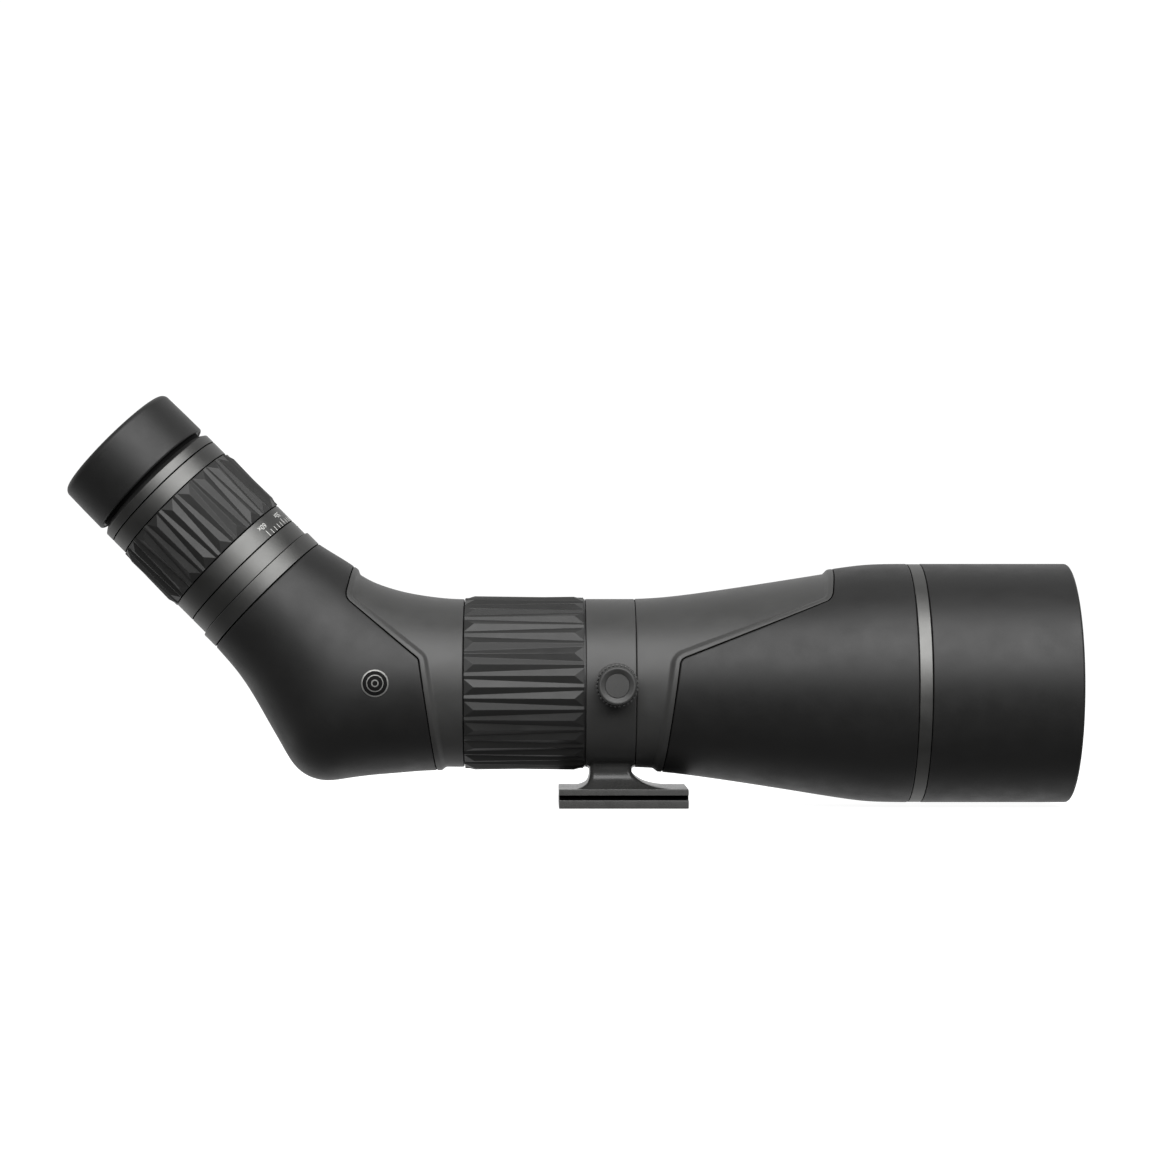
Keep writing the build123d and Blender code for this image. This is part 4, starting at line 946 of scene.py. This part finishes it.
def make_foot():
    """Foot plate with a groove along both sides, its walls painted black as shade; its metal is painted
    lighter than the stem's as painted light.
    """
    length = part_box("tripod_collar")[1].x / MM
    width = FOOT_HALF_WIDTH
    depth = width - GROOVE_DEPTH
    half = [(width - 0.12, 0.0), (width, 1.6), (width, GROOVE_LOW), (depth, GROOVE_LOW),
            (depth, GROOVE_HIGH), (width, GROOVE_HIGH), (width, PLATE_TOP)]
    outline = half + [(-y, z) for y, z in reversed(half)]
    n = len(outline)
    points = [(x, y, z) for x in (-length, length) for y, z in outline]
    faces = [tuple(range(n))[::-1], tuple(range(n, 2 * n))]
    faces += [(k, (k + 1) % n, n + (k + 1) % n, n + k) for k in range(n)]
    # painted shade: the groove's inner faces take the black material
    groove_shade = [min(abs(outline[k][0]), abs(outline[(k + 1) % n][0])) < width - 1.0 for k in range(n)]
    foot = make_piece("foot_plate", points, faces, [foot_metal, painted_shade_black], "tripod_collar",
                      face_materials=[0, 0] + [int(shaded) for shaded in groove_shade],
                      sharp=30.0, bevel=0.28, bore=5.0)
    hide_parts("tripod_collar")


def make_collar():
    low, high = span("collar_liner")
    rear, front = low - COLLAR_OVERHANG, high + COLLAR_OVERHANG
    ring = turned("collar_ring", OPTICAL, (
        (rear, COLLAR_BORE), (front, COLLAR_BORE), (front, COLLAR_R, 0.45), (rear, COLLAR_R, 0.45)),
        casting_paint, "tripod_collar", "casting_paint", segments=240)
    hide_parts("tripod_collar")


# ------------------------------------------------------------------ stage, lights and camera
WORLD_FRONT = 0.10          # strength of the surroundings in front of the object and behind it
WORLD_BACK = 0.9
FLOOR_HALF = 6.0            # metres
FLOOR_DROP = 0.0002         # keeps the floor's face clear of the foot's


def lamp(name, place_at, target, size, power):
    """Rectangular softbox aimed at a point, in metres and watts."""
    light = bpy.data.lights.new(name, "AREA")
    light.shape = "RECTANGLE"
    light.size, light.size_y = size
    light.energy = power
    holder = bpy.data.objects.new(name, light)
    holder.location = place_at
    direction = Vector(target) - Vector(place_at)
    holder.rotation_euler = direction.to_track_quat("-Z", "Y").to_euler()
    bpy.context.scene.collection.objects.link(holder)


def make_world():
    """White to the camera; as light, dim in front of the object and bright behind it."""
    world = bpy.data.worlds.new("studio")
    world.use_nodes = True
    bpy.context.scene.world = world
    nodes = world.node_tree.nodes
    link = world.node_tree.links.new
    nodes.clear()
    where = nodes.new("ShaderNodeTexCoord")
    split = nodes.new("ShaderNodeSeparateXYZ")
    link(where.outputs["Generated"], split.inputs["Vector"])
    glow = nodes.new("ShaderNodeMapRange")
    glow.interpolation_type = "SMOOTHSTEP"
    glow.inputs["From Min"].default_value = -0.1
    glow.inputs["From Max"].default_value = 0.9
    glow.inputs["To Min"].default_value = WORLD_FRONT
    glow.inputs["To Max"].default_value = WORLD_BACK
    link(split.outputs["Y"], glow.inputs["Value"])
    lighting = nodes.new("ShaderNodeBackground")
    lighting.inputs["Color"].default_value = (1.0, 1.0, 1.0, 1.0)
    link(glow.outputs["Result"], lighting.inputs["Strength"])
    white = nodes.new("ShaderNodeBackground")
    white.inputs["Color"].default_value = (1.0, 1.0, 1.0, 1.0)
    white.inputs["Strength"].default_value = 1.05
    seen = nodes.new("ShaderNodeLightPath")
    choose = nodes.new("ShaderNodeMixShader")
    link(seen.outputs["Is Camera Ray"], choose.inputs["Fac"])
    link(lighting.outputs[0], choose.inputs[1])
    link(white.outputs[0], choose.inputs[2])
    output = nodes.new("ShaderNodeOutputWorld")
    link(choose.outputs[0], output.inputs["Surface"])


def make_floor():
    """Pale floor under the foot, which lets the studio light up the object from below."""
    mesh = bpy.data.meshes.new("floor")
    corners = [(x * FLOOR_HALF, y * FLOOR_HALF, 0.0) for x, y in ((-1, -1), (1, -1), (1, 1), (-1, 1))]
    mesh.from_pydata(corners, [], [(0, 1, 2, 3)])
    floor = bpy.data.objects.new("floor", mesh)
    floor.location.z = -FLOOR_DROP
    bpy.context.scene.collection.objects.link(floor)
    mat = bpy.data.materials.new("floor")
    mat.use_nodes = True
    nodes = mat.node_tree.nodes
    link = mat.node_tree.links.new
    nodes.clear()
    pale = nodes.new("ShaderNodeBsdfDiffuse")
    pale.inputs["Color"].default_value = (0.5, 0.5, 0.5, 1)
    lit = nodes.new("ShaderNodeEmission")
    lit.inputs["Strength"].default_value = 0.93
    seen_floor = nodes.new("ShaderNodeAddShader")
    link(pale.outputs[0], seen_floor.inputs[0])
    link(lit.outputs[0], seen_floor.inputs[1])
    open_floor = nodes.new("ShaderNodeBsdfTransparent")
    seen = nodes.new("ShaderNodeLightPath")
    choose = nodes.new("ShaderNodeMixShader")
    link(seen.outputs["Is Camera Ray"], choose.inputs["Fac"])
    link(open_floor.outputs[0], choose.inputs[1])
    link(seen_floor.outputs[0], choose.inputs[2])
    output = nodes.new("ShaderNodeOutputMaterial")
    link(choose.outputs[0], output.inputs["Surface"])
    mesh.materials.append(mat)


def make_lights():
    centre = (cad_box[0] + cad_box[1]) / 2
    target = (centre.x, 0.0, AXIS_Z * MM)
    lamp("key_softbox", (centre.x + 0.15, -1.02, 0.90), target, (1.9, 1.25), 35.0)


def make_camera():
    """Level camera in front of the object, with its frame shifted instead of its view turned."""
    data = bpy.data.cameras.new("camera")
    data.sensor_width = 36.0
    data.lens = 98.7
    data.shift_x = 0.0367
    data.shift_y = 0.0130
    data.clip_end = 50.0
    camera = bpy.data.objects.new("camera", data)
    camera.location = (-0.0340, -1.2846, 0.0845)
    camera.rotation_euler = (math.pi / 2, 0.0, 0.0)
    bpy.context.scene.collection.objects.link(camera)
    bpy.context.scene.camera = camera


finish_nodes()
make_barrel()
make_housing()
make_badge("badge_near", -1)
make_badge("badge_far", 1)
make_optical_rings()
make_eyepiece()
make_grips()
make_ticks()
for text, angle in NUMERALS:
    make_numeral(text, angle)
make_index_mark()
make_lock()
make_collar()
make_stem()
make_foot()
make_world()
make_floor()
make_lights()
make_camera()
bpy.context.scene.view_settings.view_transform = "Standard"
